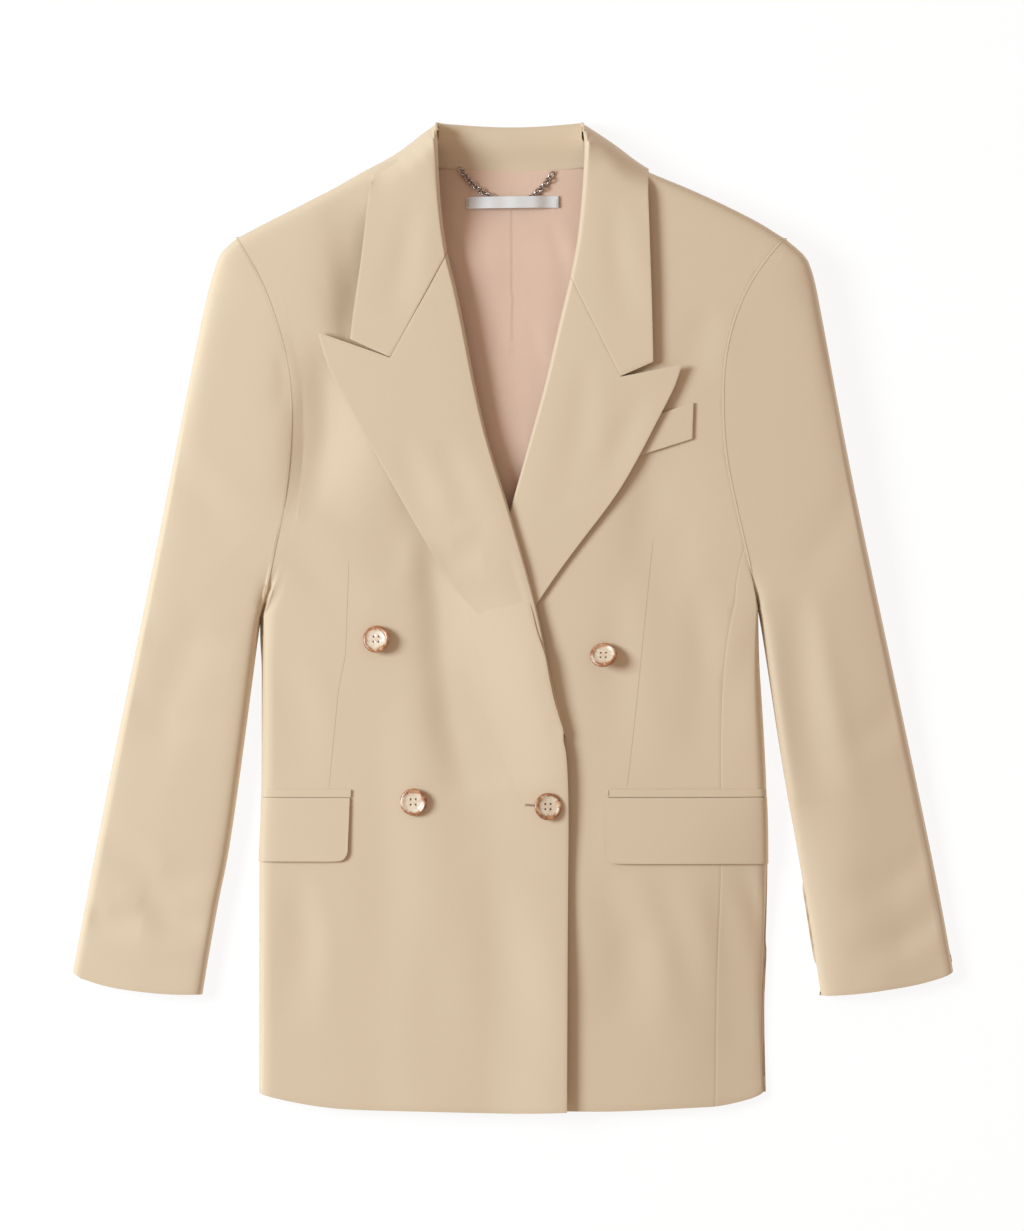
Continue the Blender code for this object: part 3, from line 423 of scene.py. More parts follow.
def corner_places():
    """Where any piece's outline has a corner."""
    places = [vert.co.copy() for work in SKINS.values() for vert in work.verts
              if turn_at(vert) > CORNER]
    tree = KDTree(len(places))
    for i, place in enumerate(places):
        tree.insert(place, i)
    tree.balance()
    return tree


CORNERS = corner_places()


def keep_corners(work):
    """Outlines keep a corner where any piece that meets them has one."""
    pointed = work.verts.layers.float.new("crease_vert")
    for vert in work.verts:
        if rims_at(vert) and CORNERS.find(vert.co)[2] < SEAM_GAP:
            vert[pointed] = 1.0


def only(piece):
    """Make a piece the only selected and active one."""
    for other in bpy.context.selected_objects:
        other.select_set(False)
    piece.select_set(True)
    bpy.context.view_layer.objects.active = piece


def with_modifier(piece, kind, **settings):
    """Add a modifier, set it and apply it."""
    only(piece)
    made = piece.modifiers.new(kind.lower(), kind)
    for key, value in settings.items():
        setattr(made, key, value)
    bpy.ops.object.modifier_apply(modifier=made.name)


def eased(piece, width, turn, segments=2):
    """Round the edges of a piece that turn by more than this many degrees."""
    with_modifier(piece, "BEVEL", width=width * MM, segments=segments, limit_method="ANGLE",
                  angle_limit=math.radians(turn))


def belongs(piece, finish):
    """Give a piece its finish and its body."""
    piece.data.materials.append(finish)
    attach(piece, "root")


def new_piece(name, work, finish):
    """Make a piece of a bmesh."""
    mesh = bpy.data.meshes.new(name)
    work.to_mesh(mesh)
    work.free()
    piece = bpy.data.objects.new(name, mesh)
    bpy.context.scene.collection.objects.link(piece)
    belongs(piece, finish)
    return piece


def points_of(mesh):
    """A mesh's points, one row each."""
    co = np.empty(len(mesh.vertices) * 3)
    mesh.vertices.foreach_get("co", co)
    return co.reshape(-1, 3)


def put_points(mesh, co):
    mesh.vertices.foreach_set("co", co.ravel())
    mesh.update()


def keep_number(mesh, name, values):
    """Keep a number at each point, for the finish to read."""
    layer = mesh.attributes.new(name, "FLOAT", "POINT")
    layer.data.foreach_set("value", np.asarray(values, np.float32))


def let_out(piece, reach):
    """Let the outline of an open piece out by this many millimetres, so that seams close."""
    work = bmesh.new()
    work.from_mesh(piece.data)
    moves = []
    for vert in work.verts:
        rims = rims_at(vert)
        if len(rims) != 2:
            continue
        out = (rims[1] - rims[0]).cross(vert.normal)
        inside = sum((f.calc_center_median() - vert.co for f in vert.link_faces), Vector())
        if out.length > 1e-9 and inside.length > 1e-9:
            out.normalize()
            moves.append((vert, out if out.dot(inside) < 0 else -out))
    for vert, out in moves:
        vert.co += out * reach * MM
    work.to_mesh(piece.data)
    work.free()


# where the cloth lies a little off its solid's outline: place, reach, move, and the solids whose
# cloth goes along, by how their names start
PULLED_IN = (
    ((115, 385), 25, (-3.4, -1.0), ("",)),
    ((-98, 392), 22, (2.2, -0.4), ("",)),
    ((232, 319), 20, (-1.0, -2.2), ("",)),
    ((-116, 378), 32, (-0.4, 3.9), ("front_right", "back_right")),
    ((-180, 348), 24, (0.0, -1.3), ("front_right", "back_right")),
    ((37, -70), 26, (-2.2, 0.0), ("front_right",)),
)


def pulled_in(plane, node):
    """Moves in the plane, by the table above."""
    move = np.zeros_like(plane)
    for place, reach, pull, starts in PULLED_IN:
        if node.startswith(starts):
            away = np.hypot(plane[:, 0] - place[0], plane[:, 1] - place[1])
            move += np.exp(-(away / reach) ** 2)[:, None] * np.array(pull)
    return move


def shell(name, node, finish, slot, relief=None, wall=1.5, levels=3, edge=0.45, marks=None,
          reach=0.25):
    """A thin piece of cloth on its solid's outer face.

    relief gives each point's move from its place, both in millimetres; marks gives the numbers
    that the finish reads; reach lets the outline out."""
    keep_corners(SKINS[node])
    piece = new_piece(name, SKINS[node], finish)
    with_modifier(piece, "SUBSURF", levels=levels, render_levels=levels,
                  boundary_smooth="PRESERVE_CORNERS")
    let_out(piece, reach)
    mesh = piece.data
    co = points_of(mesh)
    numbers = marks(co / MM) if marks is not None else {}
    if relief is not None:
        co = co + relief(co / MM) * MM
    co[:, :2] += pulled_in(co[:, :2] / MM, node) * MM
    put_points(mesh, co)
    for key, values in numbers.items():
        keep_number(mesh, key, values)
    with_modifier(piece, "SOLIDIFY", thickness=wall * MM, offset=-1)
    eased(piece, edge, 55)
    co = points_of(piece.data)
    co[:, 2] = np.maximum(co[:, 2], 0)
    put_points(piece.data, co)
    piece.data.shade_smooth()
    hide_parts(node)
    return piece


# ======== folds in the cloth
def smooth_line(points, step=12.0):
    """A Catmull-Rom curve through the points, as a polyline."""
    ends = [Vector(p) for p in points]
    ends = [2 * ends[0] - ends[1]] + ends + [2 * ends[-1] - ends[-2]]
    line = [ends[1]]
    for a, b, c, d in zip(ends, ends[1:], ends[2:], ends[3:]):
        count = max(1, round((c - b).length / step))
        for i in range(1, count + 1):
            t = i / count
            line.append(0.5 * (2 * b + (c - a) * t + (2 * a - 5 * b + 4 * c - d) * t * t
                               + (3 * b - 3 * c + d - a) * t ** 3))
    return line_of([tuple(p) for p in line])


FOLDED_EDGES = [smooth_line(points) for points in (
    # outer and inner folds of the sleeves
    ((-370, -297), (-338.5, -132), (-302.5, 45), (-271.5, 202), (-259, 262), (-252, 289),
     (-245, 307), (-231.3, 319.3)),
    ((370, -297), (358.5, -233), (339.5, -140), (320, -48), (284, 123), (263.5, 232),
     (252, 289), (244, 307), (230.3, 320.3)),
    ((-261, -316), (-250, -250), (-239, -197), (-227, -114), (-216, -30), (-211.8, 1)),
    ((259, -317), (243, -217), (228, -134), (215, -50), (206.8, 3)),
    # sides of the body
    ((-213, -399), (-213, -287), (-213, -207), (-211, -140), (-211, -69), (-211, 3)),
    ((211, -398), (210, -325), (213, -252), (214, -190), (213, -140), (210, -85), (207, -40),
     (206, 5)),
    # shoulders
    ((-230.8, 319.6), (-200, 336), (-175, 349.5), (-118, 374.6), (-67.8, 403)),
    ((229.8, 320.6), (176, 347.5), (119, 374), (64, 403)))]
# the right front's free edge goes over into the lapel's roll
LOWER_ROLL = ((44.5, -100), (39, -77), (30, -44), (20, 8), (-3.5, 92))
FREE_EDGE_RIGHT = line_of(((45, -416), (45.5, -279), (46, -212), (46.5, -153), *LOWER_ROLL))
RIGHT_ROLL = line_of((*LOWER_ROLL, (-21, 148), (-32, 197), (-45, 266), (-55, 306), (-61, 353),
                      (-64, 416)))

# sunken places that fall steeply on one side and rise gently on the other, drawn downwards:
# points, half width at the steep side, at the gentle side, depth
SUNKEN = (
    (((-112, 342), (-113, 300), (-119, 262), (-130, 222)), 20, 13, 9.4),       # by the collar
    (((-150, 236), (-153, 195), (-152, 158), (-160, 118), (-170, 84)), 20, 26, 6.6),
    (((-94, 122), (-69, 66), (-60, 14), (-56, -35), (-50, -86), (-34, -150)), 18, 64, 7.2),
    (((238, -150), (238, -250), (235, -330), (230, -480)), 62, 30, 14.0),      # lower left side
    (((318, 30), (334, -60), (352, -150), (372, -250), (386, -390)), 66, 30, 6.0),   # left sleeve
)
# points of the fold, half width, depth, share of the ridge beside it
BODY_FOLDS = (
    # right front
    (((-196, 222), (-192, 196), (-196, 170)), 8, 0.8, 0.3),
    (((-62, -60), (-50, -110), (-40, -150), (-26, -210)), 17, 0.8, 0.5),
    (((-190, 62), (-160, 30), (-120, 10)), 16, 0.9, 0.4),
    (((-196, -20), (-180, -80), (-176, -140)), 14, 0.8, 0.4),
    (((-110, -120), (-100, -220), (-104, -330)), 22, 0.9, 0.4),
    (((-24, -200), (-2, -300), (20, -390)), 20, 1.0, 0.5),
    (((-184, -212), (-176, -270), (-186, -350)), 13, 1.1, 0.5),
    (((-60, -250), (-70, -330), (-64, -400)), 20, 0.6, 0.4),
    # left front and its side panel
    (((116, 136), (108, 84), (100, 20)), 17, 1.6, 0.15),
    (((90, 40), (84, -40), (88, -130)), 17, 0.9, 0.5),
    (((152, 30), (160, -50), (152, -130)), 15, 1.2, 0.5),
    (((186, -208), (202, -256), (208, -300)), 10, 1.7, 0.6),
    (((170, -215), (178, -290), (186, -372)), 12, 1.1, 0.5),
    (((72, -214), (94, -270), (90, -350)), 19, 1.6, 0.6),
    (((120, -222), (142, -280), (158, -350)), 16, 1.2, 0.5),
    (((166, 262), (152, 226), (150, 196)), 15, 1.0, 0.4),
    (((196, -10), (182, -60), (176, -120)), 12, 1.0, 0.4),
    # right sleeve
    (((-292, 150), (-258, 96), (-230, 60)), 15, 1.0, 0.4),
    (((-324, 0), (-284, -24), (-240, -32)), 14, 1.1, 0.5),
    (((-318, -66), (-285, -92), (-248, -86)), 13, 0.8, 0.4),
    (((-344, -180), (-300, -222), (-258, -230)), 13, 1.3, 0.5),
    (((-362, -238), (-338, -256), (-312, -258)), 10, 1.8, 0.5),
    (((-312, -236), (-286, -256), (-262, -262)), 12, 1.7, 0.5),
    (((-340, -280), (-305, -294), (-274, -300)), 9, 0.8, 0.4),
    # left sleeve
    (((236, 20), (243, -60), (258, -160)), 13, 1.7, 0.8),
    (((282, 120), (262, 66), (234, 34)), 14, 0.9, 0.4),
    (((330, -60), (300, -96), (262, -112)), 13, 0.9, 0.4),
    (((352, -186), (318, -220), (276, -226)), 13, 1.2, 0.5),
    (((356, -246), (322, -272), (282, -282)), 12, 1.4, 0.5),
    (((298, 180), (286, 120), (300, 60)), 13, 0.7, 0.4),
)
# on the turned faces of lapels and collar
RIGHT_LAPEL_FOLDS = (
    (((-96, 150), (-74, 90), (-40, 40)), 14, 0.9, 0.5),
    (((-78, 60), (-52, 48), (-26, 50)), 11, 1.5, 0.5),
    (((-60, 150), (-40, 90), (-14, 40)), 13, 0.8, 0.5),
)
LEFT_LAPEL_FOLDS = (
    (((60, 220), (54, 150), (40, 90)), 13, 0.8, 0.5),
    (((110, 190), (86, 140), (60, 100)), 12, 0.8, 0.5),
)
COLLAR_FOLDS = (
    (((-84, 350), (-92, 300), (-104, 250)), 12, 0.9, 0.5),
    (((82, 350), (86, 300), (98, 240)), 12, 0.9, 0.5),
)
LINING_FOLDS = (
    (((-58, 330), (-44, 300), (-40, 262)), 7, 0.7, 0.5),
    (((30, 336), (42, 296), (44, 250)), 8, 0.6, 0.5),
    (((-30, 240), (-22, 200), (-18, 150)), 7, 0.6, 0.5),
    (((14, 250), (24, 210), (16, 160)), 7, 0.5, 0.5),
)


def from_folds(spots):
    """Distance to the nearest folded edge of the flat garment."""
    return np.min([np.abs(from_line(line, spots)[0]) for line in FOLDED_EDGES], axis=0)


BODY_TAPER = (3, 20)            # folds fade out this near to a folded edge of the garment
TURNED_TAPER = (0, 1)           # and on the faces that are turned over


def folds_at(spots, table=BODY_FOLDS, taper=BODY_TAPER):
    plane = spots[:, :2]
    total = sum(crease(plane, *row) for row in table)
    return total * ease(from_folds(plane), *taper)


SOLID_ROUND = 17.0              # how far in from its folded edges a solid is rounded
FILL = 0.72                     # share of the way that its cloth moves out to them
FILL_END = (20, 45)             # how far in that fades out
SEAM_HEIGHT = 3.2               # of the seam round sides and sleeves, where the upper cloth ends
SHOULDER_RISE = 3.8             # how much higher it lies beside the collar


def fuller(spots):
    """Moves in the plane by which the upper cloth fills its folded edges."""
    away = np.full(len(spots), 1e9)
    way = np.zeros((len(spots), 2))
    for line in FOLDED_EDGES:
        for _, _, _, gap, far in stretches(line, spots[:, :2]):
            near = far < away
            away[near], way[near] = far[near], gap[near]
    share = FILL / (1 + (away / SOLID_ROUND) ** 3) * (1 - ease(away, *FILL_END))
    seam = SEAM_HEIGHT + SHOULDER_RISE * ease(spots[:, 1], 300, 345)
    upper = ease(spots[:, 2] - seam, -0.6, 0.6)
    return way * (share * upper)[:, None]


def solid_round(away):
    """The share of its full height that a solid has this far in from a folded edge."""
    return np.sqrt(np.clip(1 - (1 - np.clip(away / SOLID_ROUND, 0, 1)) ** 2, 0, 1))


def sunk(plane):
    """The sunken places."""
    total = np.zeros(len(plane))
    for points, steep, gentle, depth in SUNKEN:
        away, share = from_line(line_of(points), plane)
        width = np.where(away > 0, gentle, steep) * (0.8 + 0.4 * share)
        taper = np.sin(math.pi * np.clip(share, 0, 1)) ** 0.7
        total -= depth * taper * np.exp(-(away / width) ** 2)
    return total * solid_round(from_folds(plane))


def body_at(spots):
    """Folds and sunken places of the upper cloth of fronts, sides and sleeves."""
    return folds_at(spots) + sunk(spots[:, :2])


def upright(heights):
    """Turn heights into moves straight up."""
    out = np.zeros((len(heights), 3))
    out[:, 2] = heights
    return out


def laid(spots, heights):
    """Moves straight up, and out to the folded edges."""
    out = upright(heights)
    out[:, :2] = fuller(spots)
    return out


EDGE_LIFT = 7.0                 # how far the right front's free edge stands off the left front
EDGE_LIFT_REACH = 70            # how far in from the edge the cloth rises
EDGE_DIP = (0.45, -225, 62)     # share by which it lies closer, middle height, half length
FOOT_GAP = 4.2                  # beside the lapel's foot the front's solid ends this far in
FOOT_REACH = 14                 # the cloth this near to the roll is drawn out over that gap
FOOT_SPREAD = 1.42              # and widened by this share


def edge_lift(plane):
    """The right front's free edge and roll stand off the left front."""
    away = np.abs(from_line(FREE_EDGE_RIGHT, plane)[0])
    lift = EDGE_LIFT * (1 - ease(away, 0, EDGE_LIFT_REACH)) * lower(plane, 90, -60)
    share, middle, half = EDGE_DIP
    return lift * (1 - share * np.exp(-((plane[:, 1] - middle) / half) ** 2))


def front_right_relief(spots):
    """The body's folds, and the free front edge standing off the front below it.

    Below the lapel the cloth runs out to the roll, over the lapel's foot."""
    plane = spots[:, :2]
    moves = laid(spots, body_at(spots) + edge_lift(plane))
    away = np.abs(from_line(FREE_EDGE_RIGHT, plane)[0])
    nearer = np.where(away < FOOT_REACH, np.maximum(0.15, (away - FOOT_GAP) * FOOT_SPREAD), away)
    along = lower(plane, -6, -40) * (1 - lower(plane, -94, -106)) * (plane[:, 0] > -20)
    out = np.array((0.97, 0.25))
    moves[:, :2] += ((away - nearer) * along)[:, None] * out
    return moves


def body_relief(spots):
    """Upper cloth with no free edge."""
    return laid(spots, body_at(spots))


SINK_INSIDE = 4.6               # how far the right lapel's foot sinks, away from its roll
SINK_AT_ROLL = 3.6
SINK_AT_END = 5.0


def right_lapel_relief(spots):
    """The right lapel's soft dimples; its foot sinks away into the front's roll."""
    plane = spots[:, :2]
    inside = ease(np.abs(from_line(RIGHT_ROLL, plane)[0]), 4, 11)
    sink = SINK_INSIDE * inside * lower(plane, 62, -8)
    sink += SINK_AT_ROLL * (1 - inside) * lower(plane, 52, -2)
    sink += SINK_AT_END * lower(plane, -14, -46)
    below = 0.85 * sunk(plane) * lower(plane, 60, 0)
    folds = folds_at(spots, RIGHT_LAPEL_FOLDS, TURNED_TAPER)
    return upright(folds - sink + below + edge_lift(plane))


def left_lapel_relief(spots):
    return upright(folds_at(spots, LEFT_LAPEL_FOLDS, TURNED_TAPER))


def collar_relief(spots):
    return upright(folds_at(spots, COLLAR_FOLDS, TURNED_TAPER))


def under_relief(spots):
    """Shallow hollows on the floor side; nothing goes below the floor."""
    x, y = spots[:, 0], spots[:, 1]
    waves = np.sin(x / 23 + y / 61) + np.sin(y / 37 - x / 90)
    return upright(0.35 * np.clip(waves, 0, 2) * ease(from_folds(spots[:, :2]), 12, 30))


def side_left_relief(spots):
    """The front's folds on its upper face; its floor side stays flat."""
    return laid(spots, body_at(spots) * (spots[:, 2] > SEAM_HEIGHT))


BODY_SIDES = (-212, 213)        # the body's folded edges at the pockets
POCKET_ENDS = (-209.5, 210)     # past these a pocket's ends are drawn in
DRAWN_IN = 0.42


def pocket_relief(spots):
    """Pockets go along with the cloth below them and lie close round its folded edge."""
    inside = spots.copy()
    inside[:, 0] = np.clip(spots[:, 0], *BODY_SIDES)
    moves = laid(inside, body_at(inside))
    moves[:, 0] -= DRAWN_IN * (spots[:, 0] - np.clip(spots[:, 0], *POCKET_ENDS))
    return moves


NECK_SEAM = 376                 # height of the lining's upper end
BILLOW = 18.5                   # how far the slack lining stands up
PLEAT_X = -1
PLEAT_STEEP = (0.9, 16)         # depth and reach on the pleat's right
PLEAT_GENTLE = (1.3, 42)        # and on its left


def lining_lift(plane):
    """The slack back lining billows up between neck seam and chest."""
    return BILLOW * lower(plane, NECK_SEAM, NECK_SEAM - 80) * ease(plane[:, 1], 58, 84)


def lining_relief(spots):
    """The billow, with the pleat down the middle of the back and a few soft wrinkles."""
    plane = spots[:, :2]
    across = plane[:, 0] - PLEAT_X
    steep, gentle = (depth * np.exp(-(across / reach) ** 2)
                     for depth, reach in (PLEAT_STEEP, PLEAT_GENTLE))
    pleat = np.where(across < 0, steep, gentle) * lower(plane, NECK_SEAM - 4, NECK_SEAM - 40)
    soft = sum(crease(plane, *row) for row in LINING_FOLDS)
    return upright(lining_lift(plane) - pleat + soft)


def label_relief(spots):
    """The label rides on the lining, slightly waved."""
    plane = spots[:, :2]
    wave = 0.35 * np.sin(plane[:, 0] / 5.3) + 0.25 * np.sin(plane[:, 0] / 2.9 + 1)
    return upright(lining_lift(plane) + wave)


# how far outlines are let out: the right armhole shows as a fine line, under sleeves stay inside
# the top ones, and the band closes the neck seam
SLEEVE_REACH = {"right": -0.03, "left": 0.25}
UNDER_REACH = -0.15
BAND_REACH = 1.3
LAPEL_RELIEF = {"right": right_lapel_relief, "left": left_lapel_relief}
DARTS = {"right": ((-137, 54), (-140, -30), (-146, -60), (-154, -142)),
         "left": ((118.5, 74), (112, 10), (104, -70), (96, -142))}
# the right armhole's seam, along which the right front is painted with shadow
RIGHT_ARMHOLE = smooth_line(((-211, 3), (-203, 47), (-194, 84), (-189, 120), (-186, 163),
                             (-186, 197), (-194, 234), (-208, 275), (-231, 319)), 6.0)
SEAM_SPREAD = 0.6       # share that distances from the armhole shrink to: its line is wider


def dart_lines_and_seam_shadow(side):
    """Marks for the dark line of a front's waist dart, and for painted shadow along the right
    armhole's seam.
    """
    def marks(spots):
        plane = spots[:, :2]
        signed, share = from_line(line_of(DARTS[side]), plane)
        on = ease(share, 0.0, 0.08) * ((share > 0.001) & (share < 0.999))
        if side == "right":
            # painted shadow along the right armhole: a wider line, deeper lower down
            seam = from_line(RIGHT_ARMHOLE, plane)[0] * SEAM_SPREAD
            nearer = np.abs(seam) < np.abs(signed)
            depth = 0.55 + 0.45 * lower(plane, 230, 90)
            signed, on = np.where(nearer, seam, signed), np.where(nearer, depth, on)
        return {"dart_and_seam_shadow_line": np.clip(signed, -30, 30), "dart_and_seam_shadow_strength": on}
    return marks


# ======== the cloth pieces
WOOL = wool("wool_twill")
# the fronts' wool: the dart's dark line, and painted shadow along the right armhole seam
WOOL_DART_AND_SEAM_SHADOW = wool("wool_twill_dart_and_seam_shadow", dart_and_seam_shadow_lines=True)
WOOL_SLEEVE = {"right": wool("wool_sleeve_right", 0.18), "left": wool("wool_sleeve_left", -0.18)}
WOOL_LAPEL = {"right": wool("wool_lapel_right", -0.42), "left": wool("wool_lapel_left", 0.42)}
WOOL_COLLAR = wool("wool_collar", 1.2)


def sew_body():
    """All pieces of cloth by their solids' names."""
    pieces = {}

    def sew(name, node, finish, relief=None, slot="wool", **settings):
        pieces[node] = shell(name, node, finish, slot, relief, **settings)

    sew("front_panel_right", "front_right", WOOL_DART_AND_SEAM_SHADOW, front_right_relief,
        marks=dart_lines_and_seam_shadow("right"))
    sew("front_panel_left", "front_left", WOOL_DART_AND_SEAM_SHADOW, body_relief, marks=dart_lines_and_seam_shadow("left"))
    sew("side_panel_right", "side_right", WOOL, under_relief)
    sew("side_panel_left", "side_left", WOOL, side_left_relief)
    for side in SIDES:
        sew("back_panel_" + side, "back_" + side, WOOL, under_relief)
        sew("top_sleeve_" + side, "sleeve_upper_" + side, WOOL_SLEEVE[side], body_relief,
            reach=SLEEVE_REACH[side])
        sew("under_sleeve_" + side, "sleeve_under_" + side, WOOL_SLEEVE[side], under_relief,
            levels=2, reach=UNDER_REACH)
        sew("lapel_facing_" + side, "lapel_" + side, WOOL_LAPEL[side], LAPEL_RELIEF[side])
        sew("pocket_edge_" + side, "pocket_jet_" + side, WOOL, pocket_relief, wall=1.2, edge=0.35)
        sew("pocket_cover_" + side, "pocket_flap_" + side, WOOL, pocket_relief)
    sew("collar_leaf", "collar_fall", WOOL_COLLAR, collar_relief)
    sew("neck_band", "collar_band", WOOL_COLLAR, reach=BAND_REACH)
    sew("lining_back", "back_lining", lining_cloth(), lining_relief, "lining", wall=0.7,
        edge=0.2, levels=4)
    sew("breast_pocket_welt", "breast_welt", WOOL, body_relief)
    sew("neck_tab", "neck_label", label_satin(), label_relief, "label", wall=0.6, edge=0.2,
        levels=4)
    return pieces


cloth = sew_body()


# ======== buttons
BUTTONS = (             # solid, lean about X, lean about Y in degrees, seed of its horn
    ("button_upper_right", -9, -14, 3),
    ("button_upper_left", -30, -8, 8),
    ("button_lower_right", 3, -10, 14),
    ("button_lower_left", -4, 9, 21),
)
BUTTON_RADIUS = 11.5
BUTTON_STEPS = (        # radius, height: from the dish over the rim to the middle of the back
    (4.9, 2.40), (5.6, 2.43), (6.6, 2.55), (7.5, 2.90), (8.3, 3.42), (9.0, 3.78), (9.8, 3.92),
    (10.5, 3.74), (11.1, 3.32), (11.42, 2.75), (11.5, 2.2), (11.3, 1.45), (10.7, 0.72),
    (9.7, 0.22), (8.0, 0.03),
)
HOLE_OUT = 2.2          # from the middle to a thread hole, along X and Y
HOLE_RADIUS = 0.92
HOLES = [(a * HOLE_OUT, b * HOLE_OUT) for a in (-1, 1) for b in (-1, 1)]
REST_RADIUS = 10.35     # a leaning button stands on its back at this radius
SHANK_RADIUS = 1.5      # of the thread below a button
COIL_RADIUS = 2.3       # and where it is wound round
COIL = 0.42             # from turn to turn


def turned_disc(name, steps, sides, finish):
    """A turned piece: a disc whose rim is drawn out from step to step and closed below."""
    (radius, height), *rest = steps
    bpy.ops.mesh.primitive_circle_add(vertices=sides, radius=radius * MM, fill_type="NGON",
                                      location=(0, 0, height * MM))
    piece = bpy.context.object
    piece.name = name
    bpy.ops.object.transform_apply(location=True, rotation=True, scale=True)
    bpy.ops.object.mode_set(mode="EDIT")
    bpy.context.tool_settings.mesh_select_mode = (False, True, False)
    bpy.ops.mesh.select_all(action="SELECT")
    bpy.ops.mesh.region_to_loop()
    for next_radius, next_height in rest:
        bpy.ops.mesh.extrude_edges_move(
            TRANSFORM_OT_translate={"value": (0, 0, (next_height - height) * MM)})
        share = next_radius / radius
        bpy.ops.transform.resize(value=(share, share, 1), center_override=(0, 0, 0))
        radius, height = next_radius, next_height
    bpy.ops.mesh.edge_face_add()
    bpy.ops.mesh.select_all(action="SELECT")
    bpy.ops.mesh.normals_make_consistent(inside=False)
    bpy.ops.object.mode_set(mode="OBJECT")
    belongs(piece, finish)
    return piece


def rod(radius, length, middle, sides=12, round_ends=0.3):
    """A short rod along Z with rounded ends."""
    bpy.ops.mesh.primitive_cylinder_add(vertices=sides, radius=radius * MM, depth=length * MM,
                                        location=[c * MM for c in middle])
    piece = bpy.context.object
    bpy.ops.object.transform_apply(location=True, rotation=True, scale=True)
    eased(piece, round_ends * radius, 60, 3)
    return piece


def joined(name, parts, finish):
    """Join parts into one piece."""
    only(parts[0])
    for part in parts[1:]:
        part.select_set(True)
    bpy.ops.object.join()
    piece = bpy.context.object
    piece.name = name
    piece.data.materials.clear()
    piece.data.shade_smooth()
    belongs(piece, finish)
    return piece


def seat_of(node, tilt):
    """Where a button's own middle of the back lies, from its solid."""
    spots = [tilt.inverted() @ v.co for v in frame["nodes"][node].data.vertices]
    low = [min(s[i] for s in spots) for i in range(3)]
    high = [max(s[i] for s in spots) for i in range(3)]
    return tilt @ Vector(((low[0] + high[0]) / 2, (low[1] + high[1]) / 2, low[2]))


def drilled(disc):
    """Four thread holes with eased edges."""
    for x, y in HOLES:
        drill = rod(HOLE_RADIUS, 12, (x, y, 2), 20, 0.01)
        with_modifier(disc, "BOOLEAN", operation="DIFFERENCE", object=drill, solver="EXACT")
        bpy.data.objects.remove(drill, do_unlink=True)
    eased(disc, 0.22, 62)


def rise_at(node, place):
    """How far the cloth below a button stands above its solid, in millimetres."""
    spot = np.array([place.translation]) / MM
    rise = body_at(spot)[0]
    if node != "button_upper_left":             # which is sewn to the left front
        rise += edge_lift(spot[:, :2])[0]
    return float(rise)


def sew_shank(side, place, lean):
    """Thread in the four holes and wound round the shank below the button."""
    gap = REST_RADIUS * math.sin(math.radians(lean)) + 0.4
    holes = [rod(0.8, 1.7, (x, y, 0.75), 12, 0.5) for x, y in HOLES]
    core = rod(SHANK_RADIUS, gap + 1.4, (0, 0, -gap / 2 + 0.1), 16, 0.3)
    coils = [rod(COIL_RADIUS - 0.3 * (k % 2), 0.5, (0, 0, 0.05 - COIL * k), 16, 0.9)
             for k in range(int(gap / COIL) + 1)]
    joined("shank_" + side, [*holes, core, *coils], THREAD).data.transform(place)


def make_button(node, lean_x, lean_y, seed):
    """A dished button with four drilled holes, standing on its thread shank."""
    side = node.split("_", 1)[1]
    tilt = (Matrix.Rotation(math.radians(lean_y), 4, "Y")
            @ Matrix.Rotation(math.radians(lean_x), 4, "X"))
    place = Matrix.Translation(seat_of(node, tilt)) @ tilt
    place = Matrix.Translation((0, 0, rise_at(node, place) * MM)) @ place
    disc = turned_disc("horn_button_" + side, BUTTON_STEPS, 64, horn("horn_" + side, seed))
    drilled(disc)
    spots = points_of(disc.data) / MM
    keep_number(disc.data, "rim", np.hypot(spots[:, 0], spots[:, 1]) / BUTTON_RADIUS)
    only(disc)
    bpy.ops.object.shade_smooth_by_angle(angle=math.radians(40))
    disc.data.transform(place)
    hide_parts(node)
    sew_shank(side, place, math.hypot(lean_x, lean_y))


THREAD = sewing_thread("button_thread", (0.36, 0.24, 0.15))
TWIST = sewing_thread("buttonhole_twist", (0.62, 0.49, 0.34))
for button in BUTTONS:
    make_button(*button)


# ======== hanger chain
CHAIN_ROUTE = ((-43, 375), (-36, 366), (-25, 357), (-14, 351), (0, 349), (13, 351),
               (20, 357), (29, 366), (34, 375))
CHAIN_HEIGHT = 8.25             # above the back lining's lift
LINK_PITCH = 4.45
LINK_PAIRS = 11
LINK_RADIUS = 2.5
LINK_WIRE = 0.75
LINK_ROLL = 36                  # each link lies rolled by this angle, every other one back


